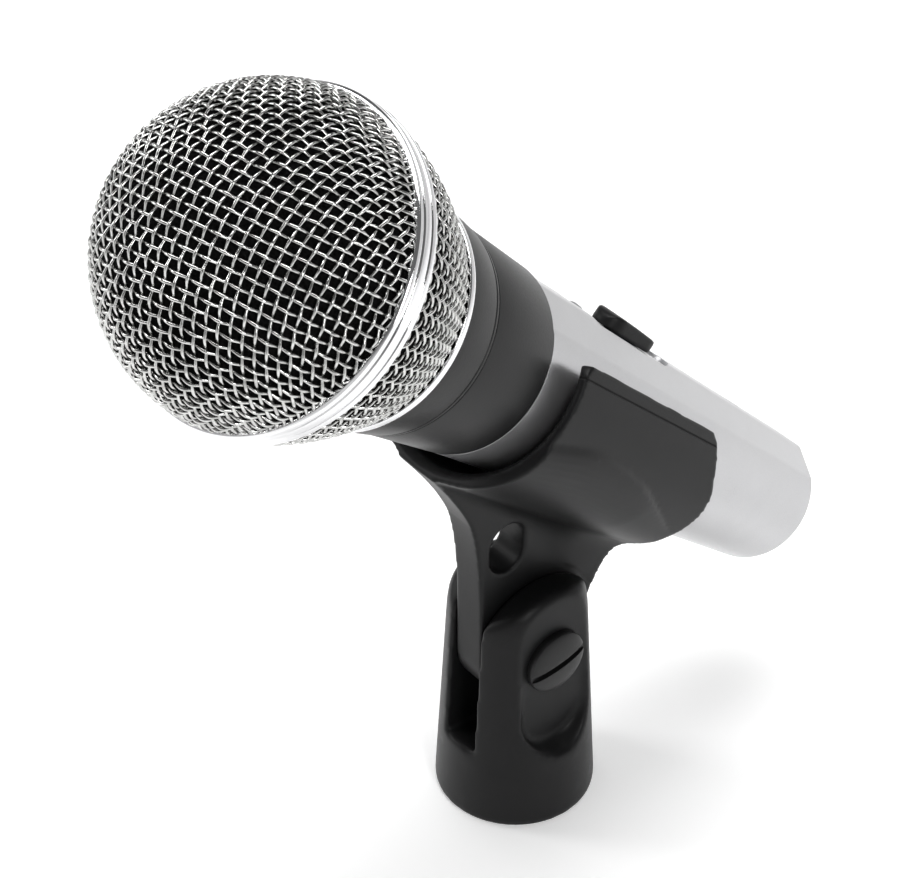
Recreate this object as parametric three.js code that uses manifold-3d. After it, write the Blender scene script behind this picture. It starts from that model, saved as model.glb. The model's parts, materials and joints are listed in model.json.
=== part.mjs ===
// A dynamic vocal microphone lying in its swivel stand clip.
// Millimetres. +Z is up, the head points to -Y and the screw head of the clip's pivot to +X.
// The origin is the middle of the clip's underside, on the axis of the stand thread.
// "Station" means the distance along the microphone from its rear rim.

import * as THREE from 'three';
import { mergeVertices } from 'three/addons/utils/BufferGeometryUtils.js';
import Module from 'manifold-3d';

const wasm = await Module();
wasm.setup();

const DEGREE = Math.PI / 180;

// ---------------------------------------------------------------- fits shared by many pieces
const JOINT_GAP = 0.3; // air between two pieces that touch
const ROUND = 40; // facets round a large turned piece
const INNER_ROUND = 28; // facets round a piece hidden inside
const FAIRING_STEPS = 6;
const SMALL_ROUND = 24; // facets round a pin or a screw

// ---------------------------------------------------------------- driving sizes: the handle
const HANDLE_LENGTH = 88;
const HANDLE_REAR_RADIUS = 11.5;
const HANDLE_FRONT_RADIUS = 15.4;
const HANDLE_WALL = 1.8;
const HANDLE_RIM_ROUND = 0.9;
const TOP_FLAT_ANGLE = 16; // half angle of the flat strip along the top
const SIDE_FLAT_ANGLE = 48; // where the two side flats run out into the round

// ---------------------------------------------------------------- driving sizes: neck and head
const NECK_LENGTH = 16;
const NECK_FRONT_RADIUS = 16.8;
const NECK_WALL = 2;
const RING_LENGTH = 8.2;
const RING_FRONT_RADIUS = 18.3;
const SPIGOT_LENGTH = 6;
const SPIGOT_WALL = 1.2;
const COLLAR_LENGTH = 1;
const COLLAR_RADIUS = 18.6;
const THREAD_SKIRT_LENGTH = 6;
const THREAD_SKIRT_WALL = 1.1;
const BALL_RADIUS = 25.4;
const REAR_GRILLE_LENGTH = 17.6;
const REAR_GRILLE_BULGE = 0.8;
const BAND_LENGTH = 4.3;
const BAND_STAND_OUT = 0.1; // outside the ball
const BAND_WALL = 1.5;
const BAND_GROOVE = 0.35;
const MESH_THICKNESS = 0.9;
const FOAM_THICKNESS = 2.6;

// ---------------------------------------------------------------- driving sizes: the cartridge
const CAPSULE_RADIUS = 11;
const CAPSULE_LENGTH = 21;
const CAPSULE_WALL = 1;
const CAPSULE_FLOOR = 1.7;
const CAPSULE_SETBACK = 2.3; // how far the capsule starts behind the name ring's rear edge
const CAP_THICKNESS = 1.7;
const CAP_HOLE_RADIUS = 1.5;
const CAP_HOLE_CIRCLE = 6.4;
const CAP_HOLE_COUNT = 6;
const YOKE_RADIUS = 9;
const YOKE_LENGTH = 12;
const YOKE_WALL = 1.5;
const YOKE_FLOOR = 1.8;
const MAGNET_RADIUS = 5.6;
const MAGNET_LENGTH = 7;
const POLE_RADIUS = 6;
const COIL_WALL = 0.6;
const COIL_LENGTH = 6;
const DIAPHRAGM_THICKNESS = 0.4;
const DIAPHRAGM_RISE = 2;
const SHOCK_MOUNT_WALL = 1.7;
const SHOCK_MOUNT_FLOOR = 1.5;
const SHOCK_MOUNT_LENGTH = 8;
const LEAD_HOLE_RADIUS = 4;

// ---------------------------------------------------------------- driving sizes: connector end
const SOCKET_RADIUS = 8.1;
const SOCKET_DEPTH = 14;
const INSULATOR_WALL = 1;
const INSULATOR_SETBACK = 1;
const INSULATOR_FLOOR = 10;
const PIN_RADIUS = 1.2;
const PIN_CIRCLE = 3.9;
const PIN_RECESS = 2.5;
const PIN_TAIL = 3;
const GRUB_RADIUS = 1.3;
const GRUB_STATION = 21.6;
const GRUB_DEPTH = 2; // how deep it bites into the insulator
const GRUB_RECESS = 0.5;

// ---------------------------------------------------------------- driving sizes: transformer
const CORE_WIDTH = 13;
const CORE_HEIGHT = 12;
const CORE_LENGTH = 15;
const CORE_LEG = 3;
const COIL_OVERHANG = 1.5;

// ---------------------------------------------------------------- driving sizes: the switch
const SWITCH_STATION = 60;
const SWITCH_RECESS_LENGTH = 28;
const SWITCH_RECESS_WIDTH = 9.6;
const PLATE_DROP = 0.6; // how far the plate lies below the flat strip
const PLATE_THICKNESS = 1;
const KNOB_LENGTH = 13.8;
const KNOB_WIDTH = 6;
const KNOB_FRONT_HEIGHT = 2.1;
const KNOB_REAR_HEIGHT = 1.7;
const KNOB_SETBACK = 2.2; // how far the knob's middle rests behind the recess's middle
const KNOB_TRAVEL = 3.5;
const KNOB_STEM_WIDTH = 3;
const KNOB_STEM_LENGTH = 5;
const KNOB_STEM_DEPTH = 2.7;
const SWITCH_BODY_WIDTH = 8.4;
const SWITCH_BODY_LENGTH = 19;
const SWITCH_BODY_HEIGHT = 5;
const PLATE_SCREW_OFFSET = 11.6; // from the recess's middle towards the head
const PLATE_SCREW_HEAD = 1.3;
const PLATE_SCREW_SHANK = 0.7;

// ---------------------------------------------------------------- driving sizes: clip and base
const CRADLE_REAR_STATION = 35.5;
const CRADLE_MOUTH_STATION = 83.7;
const CRADLE_AIR = 1.75; // between the handle and the inside of the cradle
const CRADLE_WALL = 2.2;
const CRADLE_LIP_ANGLE = 62; // each lip's angle from the top
const CRADLE_LIP_REAR_STATION = 45;
const GRIP_RIB_WIDTH = 2.4;
const GRIP_RIB_ANGLES = [100, 180, 260]; // from the top
const GRIP_RIB_SETBACK = 7; // behind the mouth
const CRADLE_LEAN = 46.8; // between the arm and the cradle's axis
const AXIS_OFFSET = 37.2; // from the pivot square to the cradle's axis
const PIVOT_STATION = 38.1;
const ARM_THICKNESS = 6.2;
const ARM_END_RADIUS = 10.2;
const ARM_HOLE_HEIGHT = 22;
const ARM_HOLE_FORWARD = 4.9;
const ARM_HOLE_WIDTH = 7.4;
const ARM_HOLE_LENGTH = 9.8;
const FAIRING_BULGE = 0.7; // how far the fairing stands out from the barrel
const FAIRING_REAR_OVERHANG = 5; // behind the barrel's rear end, where only the arm is
// Sections of the fairing from the barrel's rear end (0) to its mouth (1). Angles are from the top.
const FAIRING_SECTIONS = [
  { share: 0, crease: 124, under: 150, depth: 11 },
  { share: 0.18, crease: 114.5, under: 152, depth: 8.5 },
  { share: 0.32, crease: 106, under: 155, depth: 6 },
  { share: 0.45, crease: 99.6, under: 157, depth: 4.5 },
  { share: 0.73, crease: 95, under: 160, depth: 3.2 },
  { share: 1, crease: 101, under: 163, depth: 2.5 },
];
const MOUTH_CHAMFER = 1.1;
const LIP_CORNER_ROUND = 3;

const BASE_RADIUS = 13.4;
const BASE_NECK_RADIUS = 11.2; // at the pivot's height plus the ears
const PIVOT_HEIGHT = 32.2;
const EAR_RADIUS = 13.2; // about the pivot
const EAR_CLEARANCE = 1; // between the ears and the fairing as the clip tilts
const SLOT_FLOOR_HEIGHT = 14.3;
const POCKET_HALF_WIDTH = 7;
const POCKET_FLOOR_HEIGHT = 12.6;
const POCKET_FACE = 9; // from the middle of the base to the flat behind the screw head
const BASE_EDGE = 0.6;
const INSERT_HEIGHT = 10.8;
const INSERT_RADIUS = 10.2;
const INSERT_RECESS = 0.4;
const STAND_THREAD_RADIUS = 7.6;
const STAND_THREAD_CHAMFER = 0.6;

const SCREW_HEAD_RADIUS = 6;
const SCREW_HEAD_EDGE = 0.9;
const SCREW_HEAD_DOME = 1;
const SCREW_SHANK_RADIUS = 2.4;
const SCREW_SLOT_WIDTH = 1.3;
const SCREW_SLOT_DEPTH = 1.1;
const SCREW_SLOT_ANGLE = 9;
const NUT_ACROSS_FLATS = 8;
const NUT_THICKNESS = 3.6;
const NUT_RECESS = 0.5;

// ---------------------------------------------------------------- sizes that follow
const handleSlope = (HANDLE_FRONT_RADIUS - HANDLE_REAR_RADIUS) / HANDLE_LENGTH;
const handleRadiusAt = (station) => HANDLE_REAR_RADIUS + handleSlope * station;
const handleBoreRadiusAt = (station) => handleRadiusAt(station) - HANDLE_WALL;
const flatShare = Math.cos(TOP_FLAT_ANGLE * DEGREE);
const neckStation = HANDLE_LENGTH + JOINT_GAP;
const ringStation = neckStation + NECK_LENGTH + JOINT_GAP;
const collarStation = ringStation + RING_LENGTH + JOINT_GAP;
const rearGrilleStation = collarStation + COLLAR_LENGTH + JOINT_GAP;
const bandOuterRadius = BALL_RADIUS + BAND_STAND_OUT;
const bandStation = rearGrilleStation + REAR_GRILLE_LENGTH + JOINT_GAP;
const frontGrilleStation = bandStation + BAND_LENGTH + JOINT_GAP;
const ballStation = bandStation + BAND_LENGTH * 0.6;
const slotWidth = ARM_THICKNESS + 2 * JOINT_GAP;

// ---------------------------------------------------------------- solids
function toSolid(geometry) {
  const bare = geometry.clone();
  bare.deleteAttribute('normal');
  bare.deleteAttribute('uv');
  const merged = mergeVertices(bare, 1e-4);
  const index = Array.from(merged.index.array);
  const triangles = [];
  for (let i = 0; i < index.length; i += 3) {
    const [a, b, c] = index.slice(i, i + 3);
    if (a !== b && b !== c && c !== a) triangles.push(a, b, c);
  }
  const vertProperties = new Float32Array(merged.attributes.position.array);
  const triVerts = new Uint32Array(triangles);
  return new wasm.Manifold(new wasm.Mesh({ numProp: 3, vertProperties, triVerts }));
}

function toGeometry(solid) {
  const mesh = solid.getMesh();
  const geometry = new THREE.BufferGeometry();
  geometry.setAttribute('position', new THREE.BufferAttribute(new Float32Array(mesh.vertProperties), 3));
  geometry.setIndex(Array.from(mesh.triVerts));
  geometry.computeVertexNormals();
  return geometry;
}

function cut(blank, ...tools) {
  return toGeometry(tools.reduce((solid, tool) => solid.subtract(toSolid(tool)), toSolid(blank)));
}

function join(first, ...others) {
  return toGeometry(others.reduce((solid, other) => solid.add(toSolid(other)), toSolid(first)));
}

function overlapOf(first, ...others) {
  return toGeometry(others.reduce((solid, other) => solid.intersect(toSolid(other)), toSolid(first)));
}

// A solid turned about +Z. The outline is a list of [radius, height], counterclockwise.
function turned(outline, facets = ROUND) {
  const points = outline.map(([radius, height]) => new THREE.Vector2(radius, height));
  const [firstRadius] = outline[0];
  const [lastRadius] = outline[outline.length - 1];
  if (firstRadius > 0 || lastRadius > 0) points.push(points[0].clone());
  const geometry = new THREE.LatheGeometry(points, facets);
  return geometry.rotateX(Math.PI / 2);
}

function rod(radius, start, end, facets = SMALL_ROUND) {
  return turned([[0, start], [radius, start], [radius, end], [0, end]], facets);
}

function tube(innerRadius, outerRadius, start, end, facets = ROUND) {
  const outline = [[innerRadius, start], [outerRadius, start], [outerRadius, end], [innerRadius, end]];
  return turned(outline, facets);
}

// A block with its middle in X, and from one Y and Z to the other.
function block(width, [lowY, highY], [lowZ, highZ]) {
  const geometry = new THREE.BoxGeometry(width, highY - lowY, highZ - lowZ);
  return geometry.translate(0, (lowY + highY) / 2, (lowZ + highZ) / 2);
}

// A Shape drawn in X and Y, raised along +Z between two heights.
function raised(shape, start, end, curveSegments = 12) {
  const options = { depth: end - start, bevelEnabled: false, curveSegments };
  return new THREE.ExtrudeGeometry(shape, options).translate(0, 0, start);
}

// A Shape drawn in Y and Z, raised along +X between two positions.
function raisedAcross(shape, start, end, curveSegments = 12) {
  const geometry = raised(shape, start, end, curveSegments);
  return geometry.rotateZ(Math.PI / 2).rotateY(Math.PI / 2);
}

// A solid through counterclockwise outlines of equal counts, each in X and Y at its own height.
function lofted(sections) {
  const count = sections[0].outline.length;
  const points = sections.flatMap(({ outline, height }) => outline.flatMap(({ x, y }) => [x, y, height]));
  const index = [];
  for (let k = 0; k < sections.length - 1; k += 1) {
    for (let i = 0; i < count; i += 1) {
      const a = k * count + i;
      const b = k * count + ((i + 1) % count);
      index.push(a, b, b + count, a, b + count, a + count);
    }
  }
  const top = (sections.length - 1) * count;
  const [bottom, ...others] = sections;
  THREE.ShapeUtils.triangulateShape(bottom.outline, []).forEach(([a, b, c]) => index.push(c, b, a));
  THREE.ShapeUtils.triangulateShape(others.at(-1).outline, [])
    .forEach(([a, b, c]) => index.push(top + a, top + b, top + c));
  const geometry = new THREE.BufferGeometry();
  geometry.setAttribute('position', new THREE.Float32BufferAttribute(points, 3));
  geometry.setIndex(index);
  return geometry;
}

function polar(radius, angleFromTop) {
  const angle = angleFromTop * DEGREE;
  return [radius * Math.sin(angle), radius * Math.cos(angle)];
}

function slotShape(width, length) {
  const radius = width / 2;
  const reach = length / 2 - radius;
  const shape = new THREE.Shape();
  shape.moveTo(radius, -reach);
  shape.lineTo(radius, reach);
  shape.absarc(0, reach, radius, 0, Math.PI, false);
  shape.lineTo(-radius, -reach);
  shape.absarc(0, -reach, radius, Math.PI, 2 * Math.PI, false);
  return shape;
}

function part(name, geometry, material) {
  const mesh = new THREE.Mesh(geometry, new THREE.MeshStandardMaterial(material));
  mesh.name = name;
  return mesh;
}

// ---------------------------------------------------------------- finishes
const SILVER_ENAMEL = { color: 0xc9c9cc, roughness: 0.35, metalness: 0.6 };
const BLACK_ENAMEL = { color: 0x2b2b2d, roughness: 0.5, metalness: 0.2 };
const BLACK_MOULDING = { color: 0x29292b, roughness: 0.65, metalness: 0 };
const BRIGHT_CHROME = { color: 0xdcdcdc, roughness: 0.1, metalness: 1 };
const WIRE_CHROME = { color: 0xc8c8c8, roughness: 0.2, metalness: 1 };
const BRASS = { color: 0xc0993f, roughness: 0.35, metalness: 1 };
const STEEL = { color: 0x9a9a9c, roughness: 0.4, metalness: 1 };
const ALUMINIUM = { color: 0xb8b9bb, roughness: 0.45, metalness: 1 };
const MAGNET_GREY = { color: 0x5d5d60, roughness: 0.5, metalness: 0.8 };
const COPPER = { color: 0xb8683a, roughness: 0.35, metalness: 1 };
const RUBBER = { color: 0x1c1c1c, roughness: 0.8, metalness: 0 };
const FOAM = { color: 0x101010, roughness: 1, metalness: 0 };
const FILM = { color: 0xd8cfae, roughness: 0.3, metalness: 0 };

// ---------------------------------------------------------------- the handle
// Round below, with a flat strip along the top and a flat on each side of it.
function handleSection() {
  const step = (360 - 2 * SIDE_FLAT_ANGLE) / (ROUND - 4);
  const corners = [-SIDE_FLAT_ANGLE, -TOP_FLAT_ANGLE, TOP_FLAT_ANGLE];
  for (let i = 0; i < ROUND - 4; i += 1) corners.push(SIDE_FLAT_ANGLE + i * step);
  const points = corners.map((angle) => new THREE.Vector2(...polar(1, angle)));
  return new THREE.Shape(points.reverse());
}

function handleBlank() {
  const geometry = raised(handleSection(), 0, HANDLE_LENGTH);
  const position = geometry.attributes.position;
  for (let i = 0; i < position.count; i += 1) {
    const radius = handleRadiusAt(position.getZ(i));
    position.setXY(i, position.getX(i) * radius, position.getY(i) * radius);
  }
  return geometry;
}

function handle() {
  const rimRounding = turned([
    [0, 0],
    [HANDLE_REAR_RADIUS - HANDLE_RIM_ROUND, 0],
    [HANDLE_REAR_RADIUS - HANDLE_RIM_ROUND * 0.3, HANDLE_RIM_ROUND * 0.3],
    [handleRadiusAt(HANDLE_RIM_ROUND) + HANDLE_WALL, HANDLE_RIM_ROUND + HANDLE_WALL],
    [HANDLE_FRONT_RADIUS + HANDLE_WALL, HANDLE_LENGTH + 1],
    [0, HANDLE_LENGTH + 1],
  ]);
  const seatEnd = insulatorEnd + 1;
  const bore = turned([
    [0, -1],
    [insulatorRadius + JOINT_GAP, -1],
    [insulatorRadius + JOINT_GAP, seatEnd],
    [handleBoreRadiusAt(seatEnd + 1), seatEnd + 1],
    [handleBoreRadiusAt(HANDLE_LENGTH + 1), HANDLE_LENGTH + 1],
    [0, HANDLE_LENGTH + 1],
  ]);
  const switchHole = raised(slotShape(SWITCH_RECESS_WIDTH, SWITCH_RECESS_LENGTH), -switchDepth, 3)
    .rotateX(-Math.PI / 2);
  const screwHole = rod(GRUB_RADIUS + JOINT_GAP, 0, HANDLE_FRONT_RADIUS)
    .rotateX(-Math.PI / 2)
    .translate(0, 0, GRUB_STATION);
  return cut(overlapOf(handleBlank(), rimRounding), bore, onSwitch(switchHole), screwHole);
}

// ---------------------------------------------------------------- connector in the rear end
const insulatorRadius = SOCKET_RADIUS + INSULATOR_WALL;
const socketEnd = INSULATOR_SETBACK + SOCKET_DEPTH;
const insulatorEnd = socketEnd + INSULATOR_FLOOR;
const pinPlaces = [[-60, 'connector_pin_1'], [60, 'connector_pin_2'], [180, 'connector_pin_3']];

function connectorInsulator() {
  const cup = turned([
    [0, socketEnd],
    [SOCKET_RADIUS, socketEnd],
    [SOCKET_RADIUS, INSULATOR_SETBACK],
    [insulatorRadius, INSULATOR_SETBACK],
    [insulatorRadius, insulatorEnd],
    [0, insulatorEnd],
  ]);
  const pinHoles = pinPlaces.map(([angle]) => {
    const [x, y] = polar(PIN_CIRCLE, angle);
    return rod(PIN_RADIUS + JOINT_GAP, socketEnd - 1, insulatorEnd + 1, 16).translate(x, y, 0);
  });
  const grubHole = rod(GRUB_RADIUS + JOINT_GAP, insulatorRadius - GRUB_DEPTH - JOINT_GAP, insulatorRadius + 1)
    .rotateX(-Math.PI / 2)
    .translate(0, 0, GRUB_STATION);
  return cut(cup, ...pinHoles, grubHole);
}

function connectorPin(angle) {
  const [x, y] = polar(PIN_CIRCLE, angle);
  const tip = PIN_RADIUS * 0.6;
  return turned([
    [0, PIN_RECESS],
    [PIN_RADIUS - tip, PIN_RECESS],
    [PIN_RADIUS, PIN_RECESS + tip],
    [PIN_RADIUS, insulatorEnd + PIN_TAIL],
    [0, insulatorEnd + PIN_TAIL],
  ], 16).translate(x, y, 0);
}

function connectorScrew() {
  const bottom = insulatorRadius - GRUB_DEPTH;
  const top = handleRadiusAt(GRUB_STATION) * flatShare - GRUB_RECESS;
  const slot = block(0.5, [-GRUB_RADIUS, GRUB_RADIUS], [top - 0.7, top + 1]);
  return cut(rod(GRUB_RADIUS, bottom, top, 16), slot).rotateX(-Math.PI / 2).translate(0, 0, GRUB_STATION);
}

// ---------------------------------------------------------------- transformer in the handle
const transformerStation = insulatorEnd + PIN_TAIL + 2;
const windowHeight = CORE_HEIGHT / 2 - CORE_LEG * 1.5 + 1;

function transformerWindows(length) {
  const low = transformerStation + CORE_LEG;
  const high = low + length;
  const inner = CORE_LEG / 2;
  return [[inner, inner + windowHeight], [-inner - windowHeight, -inner]]
    .map((span) => block(CORE_WIDTH * 2, span, [low, high]));
}

function transformerCore() {
  const half = CORE_HEIGHT / 2;
  const stack = block(CORE_WIDTH - 2 * COIL_OVERHANG, [-half, half],
    [transformerStation, transformerStation + CORE_LENGTH]);
  return cut(stack, ...transformerWindows(CORE_LENGTH - 2 * CORE_LEG));
}

function transformerCoil() {
  const low = transformerStation + CORE_LEG + JOINT_GAP;
  const high = transformerStation + CORE_LENGTH - CORE_LEG - JOINT_GAP;
  const outer = CORE_LEG / 2 + windowHeight - JOINT_GAP;
  const inner = CORE_LEG / 2 + JOINT_GAP;
  const winding = block(CORE_WIDTH, [-outer, outer], [low, high]);
  const legRoom = block(CORE_WIDTH - 2 * COIL_OVERHANG + 2 * JOINT_GAP, [-inner, inner], [low - 1, high + 1]);
  return cut(winding, legRoom);
}

// ---------------------------------------------------------------- on/off switch in the top flat
// The switch's own frame: its Y leaves the flat strip, its Z runs along it towards the head.
const flatLean = Math.atan(handleSlope * flatShare);
const plateTop = -PLATE_DROP;
const plateBottom = plateTop - PLATE_THICKNESS;
const switchBodyTop = plateBottom - JOINT_GAP;
const switchDepth = HANDLE_WALL + 2;
const stemRoom = KNOB_STEM_LENGTH + KNOB_TRAVEL + 2 * JOINT_GAP;
const stemRoomMiddle = KNOB_TRAVEL / 2 - KNOB_SETBACK;

function onSwitch(geometry) {
  return geometry.rotateX(-flatLean).translate(0, handleRadiusAt(SWITCH_STATION) * flatShare, SWITCH_STATION);
}

function stemSlot(low, high) {
  const half = stemRoom / 2;
  return block(KNOB_STEM_WIDTH + 2 * JOINT_GAP, [low, high], [stemRoomMiddle - half, stemRoomMiddle + half]);
}

function switchPlate() {
  const outline = slotShape(SWITCH_RECESS_WIDTH - 2 * JOINT_GAP, SWITCH_RECESS_LENGTH - 2 * JOINT_GAP);
  const sheet = raised(outline, plateBottom, plateTop).rotateX(-Math.PI / 2);
  const screwHole = rod(PLATE_SCREW_SHANK + JOINT_GAP, plateBottom - 1, plateTop + 1, 16)
    .rotateX(-Math.PI / 2)
    .translate(0, 0, PLATE_SCREW_OFFSET);
  return onSwitch(cut(sheet, stemSlot(plateBottom - 1, plateTop + 1), screwHole));
}

function switchPlateScrew() {
  const headBase = plateTop + JOINT_GAP;
  const screw = turned([
    [0, switchBodyTop - 1.5],
    [PLATE_SCREW_SHANK, switchBodyTop - 1.5],
    [PLATE_SCREW_SHANK, headBase],
    [PLATE_SCREW_HEAD, headBase],
    [PLATE_SCREW_HEAD, headBase + 0.3],
    [PLATE_SCREW_HEAD * 0.6, headBase + 0.7],
    [0, headBase + 0.8],
  ], 16);
  return onSwitch(screw.rotateX(-Math.PI / 2).translate(0, 0, PLATE_SCREW_OFFSET));
}

function switchBody() {
  const half = SWITCH_BODY_LENGTH / 2;
  const housing = block(SWITCH_BODY_WIDTH, [switchBodyTop - SWITCH_BODY_HEIGHT, switchBodyTop], [-half, half]);
  const stemPocketFloor = plateTop + JOINT_GAP - KNOB_STEM_DEPTH - JOINT_GAP;
  return onSwitch(cut(housing, stemSlot(stemPocketFloor, switchBodyTop + 1)));
}

function switchKnob() {
  const low = plateTop + JOINT_GAP;
  const half = KNOB_LENGTH / 2;
  const side = new THREE.Shape();
  side.moveTo(-half, low);
  side.lineTo(half, low);
  side.lineTo(half, KNOB_FRONT_HEIGHT - 0.7);
  side.quadraticCurveTo(half, KNOB_FRONT_HEIGHT, half - 0.9, KNOB_FRONT_HEIGHT);
  side.lineTo(half - 2.2, KNOB_FRONT_HEIGHT);
  side.quadraticCurveTo(half * 0.3, KNOB_REAR_HEIGHT, 0, KNOB_REAR_HEIGHT);
  side.lineTo(-half + 0.8, KNOB_REAR_HEIGHT);
  side.quadraticCurveTo(-half, KNOB_REAR_HEIGHT, -half, KNOB_REAR_HEIGHT - 0.7);
  const slab = raised(side, -KNOB_WIDTH / 2, KNOB_WIDTH / 2, 4).rotateY(-Math.PI / 2);
  const plan = raised(slotShape(KNOB_WIDTH, KNOB_LENGTH), low - 1, KNOB_FRONT_HEIGHT + 1).rotateX(-Math.PI / 2);
  const stemHalf = KNOB_STEM_LENGTH / 2;
  const stem = block(KNOB_STEM_WIDTH, [low - KNOB_STEM_DEPTH, low + 0.5], [-stemHalf, stemHalf]);
  return onSwitch(join(overlapOf(slab, plan), stem).translate(0, 0, -KNOB_SETBACK));
}

// ---------------------------------------------------------------- neck and name ring
const neckBoreRadius = HANDLE_FRONT_RADIUS - NECK_WALL;
const ringBoreRadius = NECK_FRONT_RADIUS - SPIGOT_WALL;
const tailRadius = NECK_FRONT_RADIUS - NECK_WALL - JOINT_GAP;
const tailBoreRadius = tailRadius - SPIGOT_WALL;

function neckSleeve() {
  const spigotRadius = handleBoreRadiusAt(HANDLE_LENGTH - SPIGOT_LENGTH) - JOINT_GAP;
  const pocketFloor = ringStation - SPIGOT_LENGTH - 2 * JOINT_GAP;
  const front = neckStation + NECK_LENGTH;
  return turned([
    [spigotRadius - SPIGOT_WALL, neckStation - SPIGOT_LENGTH],
    [spigotRadius, neckStation - SPIGOT_LENGTH],
    [spigotRadius, neckStation],
    [HANDLE_FRONT_RADIUS, neckStation],
    [NECK_FRONT_RADIUS, front],
    [tailRadius + JOINT_GAP, front],
    [tailRadius + JOINT_GAP, pocketFloor],
    [spigotRadius - SPIGOT_WALL, pocketFloor],
  ]);
}

function nameRing() {
  const front = ringStation + RING_LENGTH;
  return turned([
    [tailBoreRadius, ringStation - SPIGOT_LENGTH],
    [tailRadius, ringStation - SPIGOT_LENGTH],
    [tailRadius, ringStation],
    [NECK_FRONT_RADIUS, ringStation],
    [RING_FRONT_RADIUS, front],
    [ringBoreRadius, front],
    [ringBoreRadius, front - THREAD_SKIRT_LENGTH - 1],
    [tailBoreRadius, front - THREAD_SKIRT_LENGTH - 1],
  ]);
}

// ---------------------------------------------------------------- the ball grille
const skirtRadius = ringBoreRadius - JOINT_GAP;
const skirtBoreRadius = skirtRadius - THREAD_SKIRT_WALL;

function grilleCollar() {
  const front = collarStation + COLLAR_LENGTH;
  return turned([
    [skirtBoreRadius, collarStation - THREAD_SKIRT_LENGTH],
    [skirtRadius, collarStation - THREAD_SKIRT_LENGTH],
    [skirtRadius, collarStation],
    [COLLAR_RADIUS, collarStation],
    [COLLAR_RADIUS, front],
    [skirtBoreRadius, front],
  ]);
}

// Radius of the rear mesh's outside, from the collar (0) to the band (1).
function rearGrilleRadius(share) {
  const straight = COLLAR_RADIUS - JOINT_GAP + (BALL_RADIUS - COLLAR_RADIUS + JOINT_GAP) * share;
  return straight + REAR_GRILLE_BULGE * Math.sin(Math.PI * share);
}

function rearGrilleOutline(inset, steps) {
  const outline = [];
  for (let i = 0; i <= steps; i += 1) {
    const share = i / steps;
    outline.push([rearGrilleRadius(share) - inset, rearGrilleStation + REAR_GRILLE_LENGTH * share]);
  }
  return outline;
}

// Outline of a sphere about the ball's middle, from a station up to the axis.
function ballOutline(radius, fromStation, steps) {
  const first = Math.asin((fromStation - ballStation) / radius);
  const outline = [];
  for (let i = 0; i <= steps; i += 1) {
    const angle = first + (Math.PI / 2 - first) * (i / steps);
    outline.push([i === steps ? 0 : radius * Math.cos(angle), ballStation + radius * Math.sin(angle)]);
  }
  return outline;
}

function rearGrille() {
  return turned([...rearGrilleOutline(0, 4), ...rearGrilleOutline(MESH_THICKNESS, 4).reverse()]);
}

function grilleBand() {
  const front = bandStation + BAND_LENGTH;
  const grooveAt = bandStation + BAND_LENGTH * 0.72;
  return turned([
    [bandOuterRadius - BAND_WALL, bandStation],
    [bandOuterRadius - BAND_GROOVE, bandStation],
    [bandOuterRadius, bandStation + BAND_GROOVE],
    [bandOuterRadius, grooveAt - BAND_GROOVE],
    [bandOuterRadius - BAND_GROOVE, grooveAt],
    [bandOuterRadius, grooveAt + BAND_GROOVE],
    [bandOuterRadius, front - BAND_GROOVE],
    [bandOuterRadius - BAND_GROOVE, front],
    [bandOuterRadius - BAND_WALL, front],
  ]);
}

function frontGrille() {
  const outer = ballOutline(BALL_RADIUS, frontGrilleStation, 7);
  const inner = ballOutline(BALL_RADIUS - MESH_THICKNESS, frontGrilleStation, 7);
  return turned([...outer, ...inner.reverse()]);
}

function foamWindscreen() {
  const outerInset = MESH_THICKNESS + JOINT_GAP;
  const rear = rearGrilleStation + REAR_GRILLE_LENGTH * 0.2;
  const bandRadius = bandOuterRadius - BAND_WALL - JOINT_GAP;
  const rearOutside = rearGrilleRadius(0.2) - outerInset;
  const outer = ballOutline(bandRadius, ballStation, 5);
  const inner = ballOutline(bandRadius - FOAM_THICKNESS, ballStation, 5);
  return turned([
    [rearOutside, rear],
    [rearGrilleRadius(0.6) - outerInset - JOINT_GAP, rearGrilleStation + REAR_GRILLE_LENGTH * 0.6],
    [bandRadius, bandStation],
    ...outer,
    ...inner.reverse(),
    [bandRadius - FOAM_THICKNESS, bandStation],
    [rearOutside - FOAM_THICKNESS, rear],
  ], INNER_ROUND);
}

// ---------------------------------------------------------------- cartridge
const capsuleStation = ringStation - CAPSULE_SETBACK;
const capsuleFront = capsuleStation + CAPSULE_LENGTH;
const yokeStation = capsuleStation + CAPSULE_FLOOR + JOINT_GAP;
const yokeFront = yokeStation + YOKE_LENGTH;
const magnetStation = yokeStation + YOKE_FLOOR + JOINT_GAP;
const poleStation = magnetStation + MAGNET_LENGTH + JOINT_GAP;
const coilBoreRadius = POLE_RADIUS + JOINT_GAP;
const coilFront = yokeFront + 2;
const diaphragmStation = coilFront + JOINT_GAP;

function shockMount() {
  const floorStation = capsuleStation - JOINT_GAP - SHOCK_MOUNT_FLOOR;
  const bore = CAPSULE_RADIUS + JOINT_GAP;
  const outside = Math.min(bore + SHOCK_MOUNT_WALL, tailBoreRadius - JOINT_GAP);
  return turned([
    [LEAD_HOLE_RADIUS, floorStation],
    [outside, floorStation],
    [outside, floorStation + SHOCK_MOUNT_LENGTH],
    [bore, floorStation + SHOCK_MOUNT_LENGTH],
    [bore, floorStation + SHOCK_MOUNT_FLOOR],
    [LEAD_HOLE_RADIUS, floorStation + SHOCK_MOUNT_FLOOR],
  ], INNER_ROUND);
}

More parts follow.
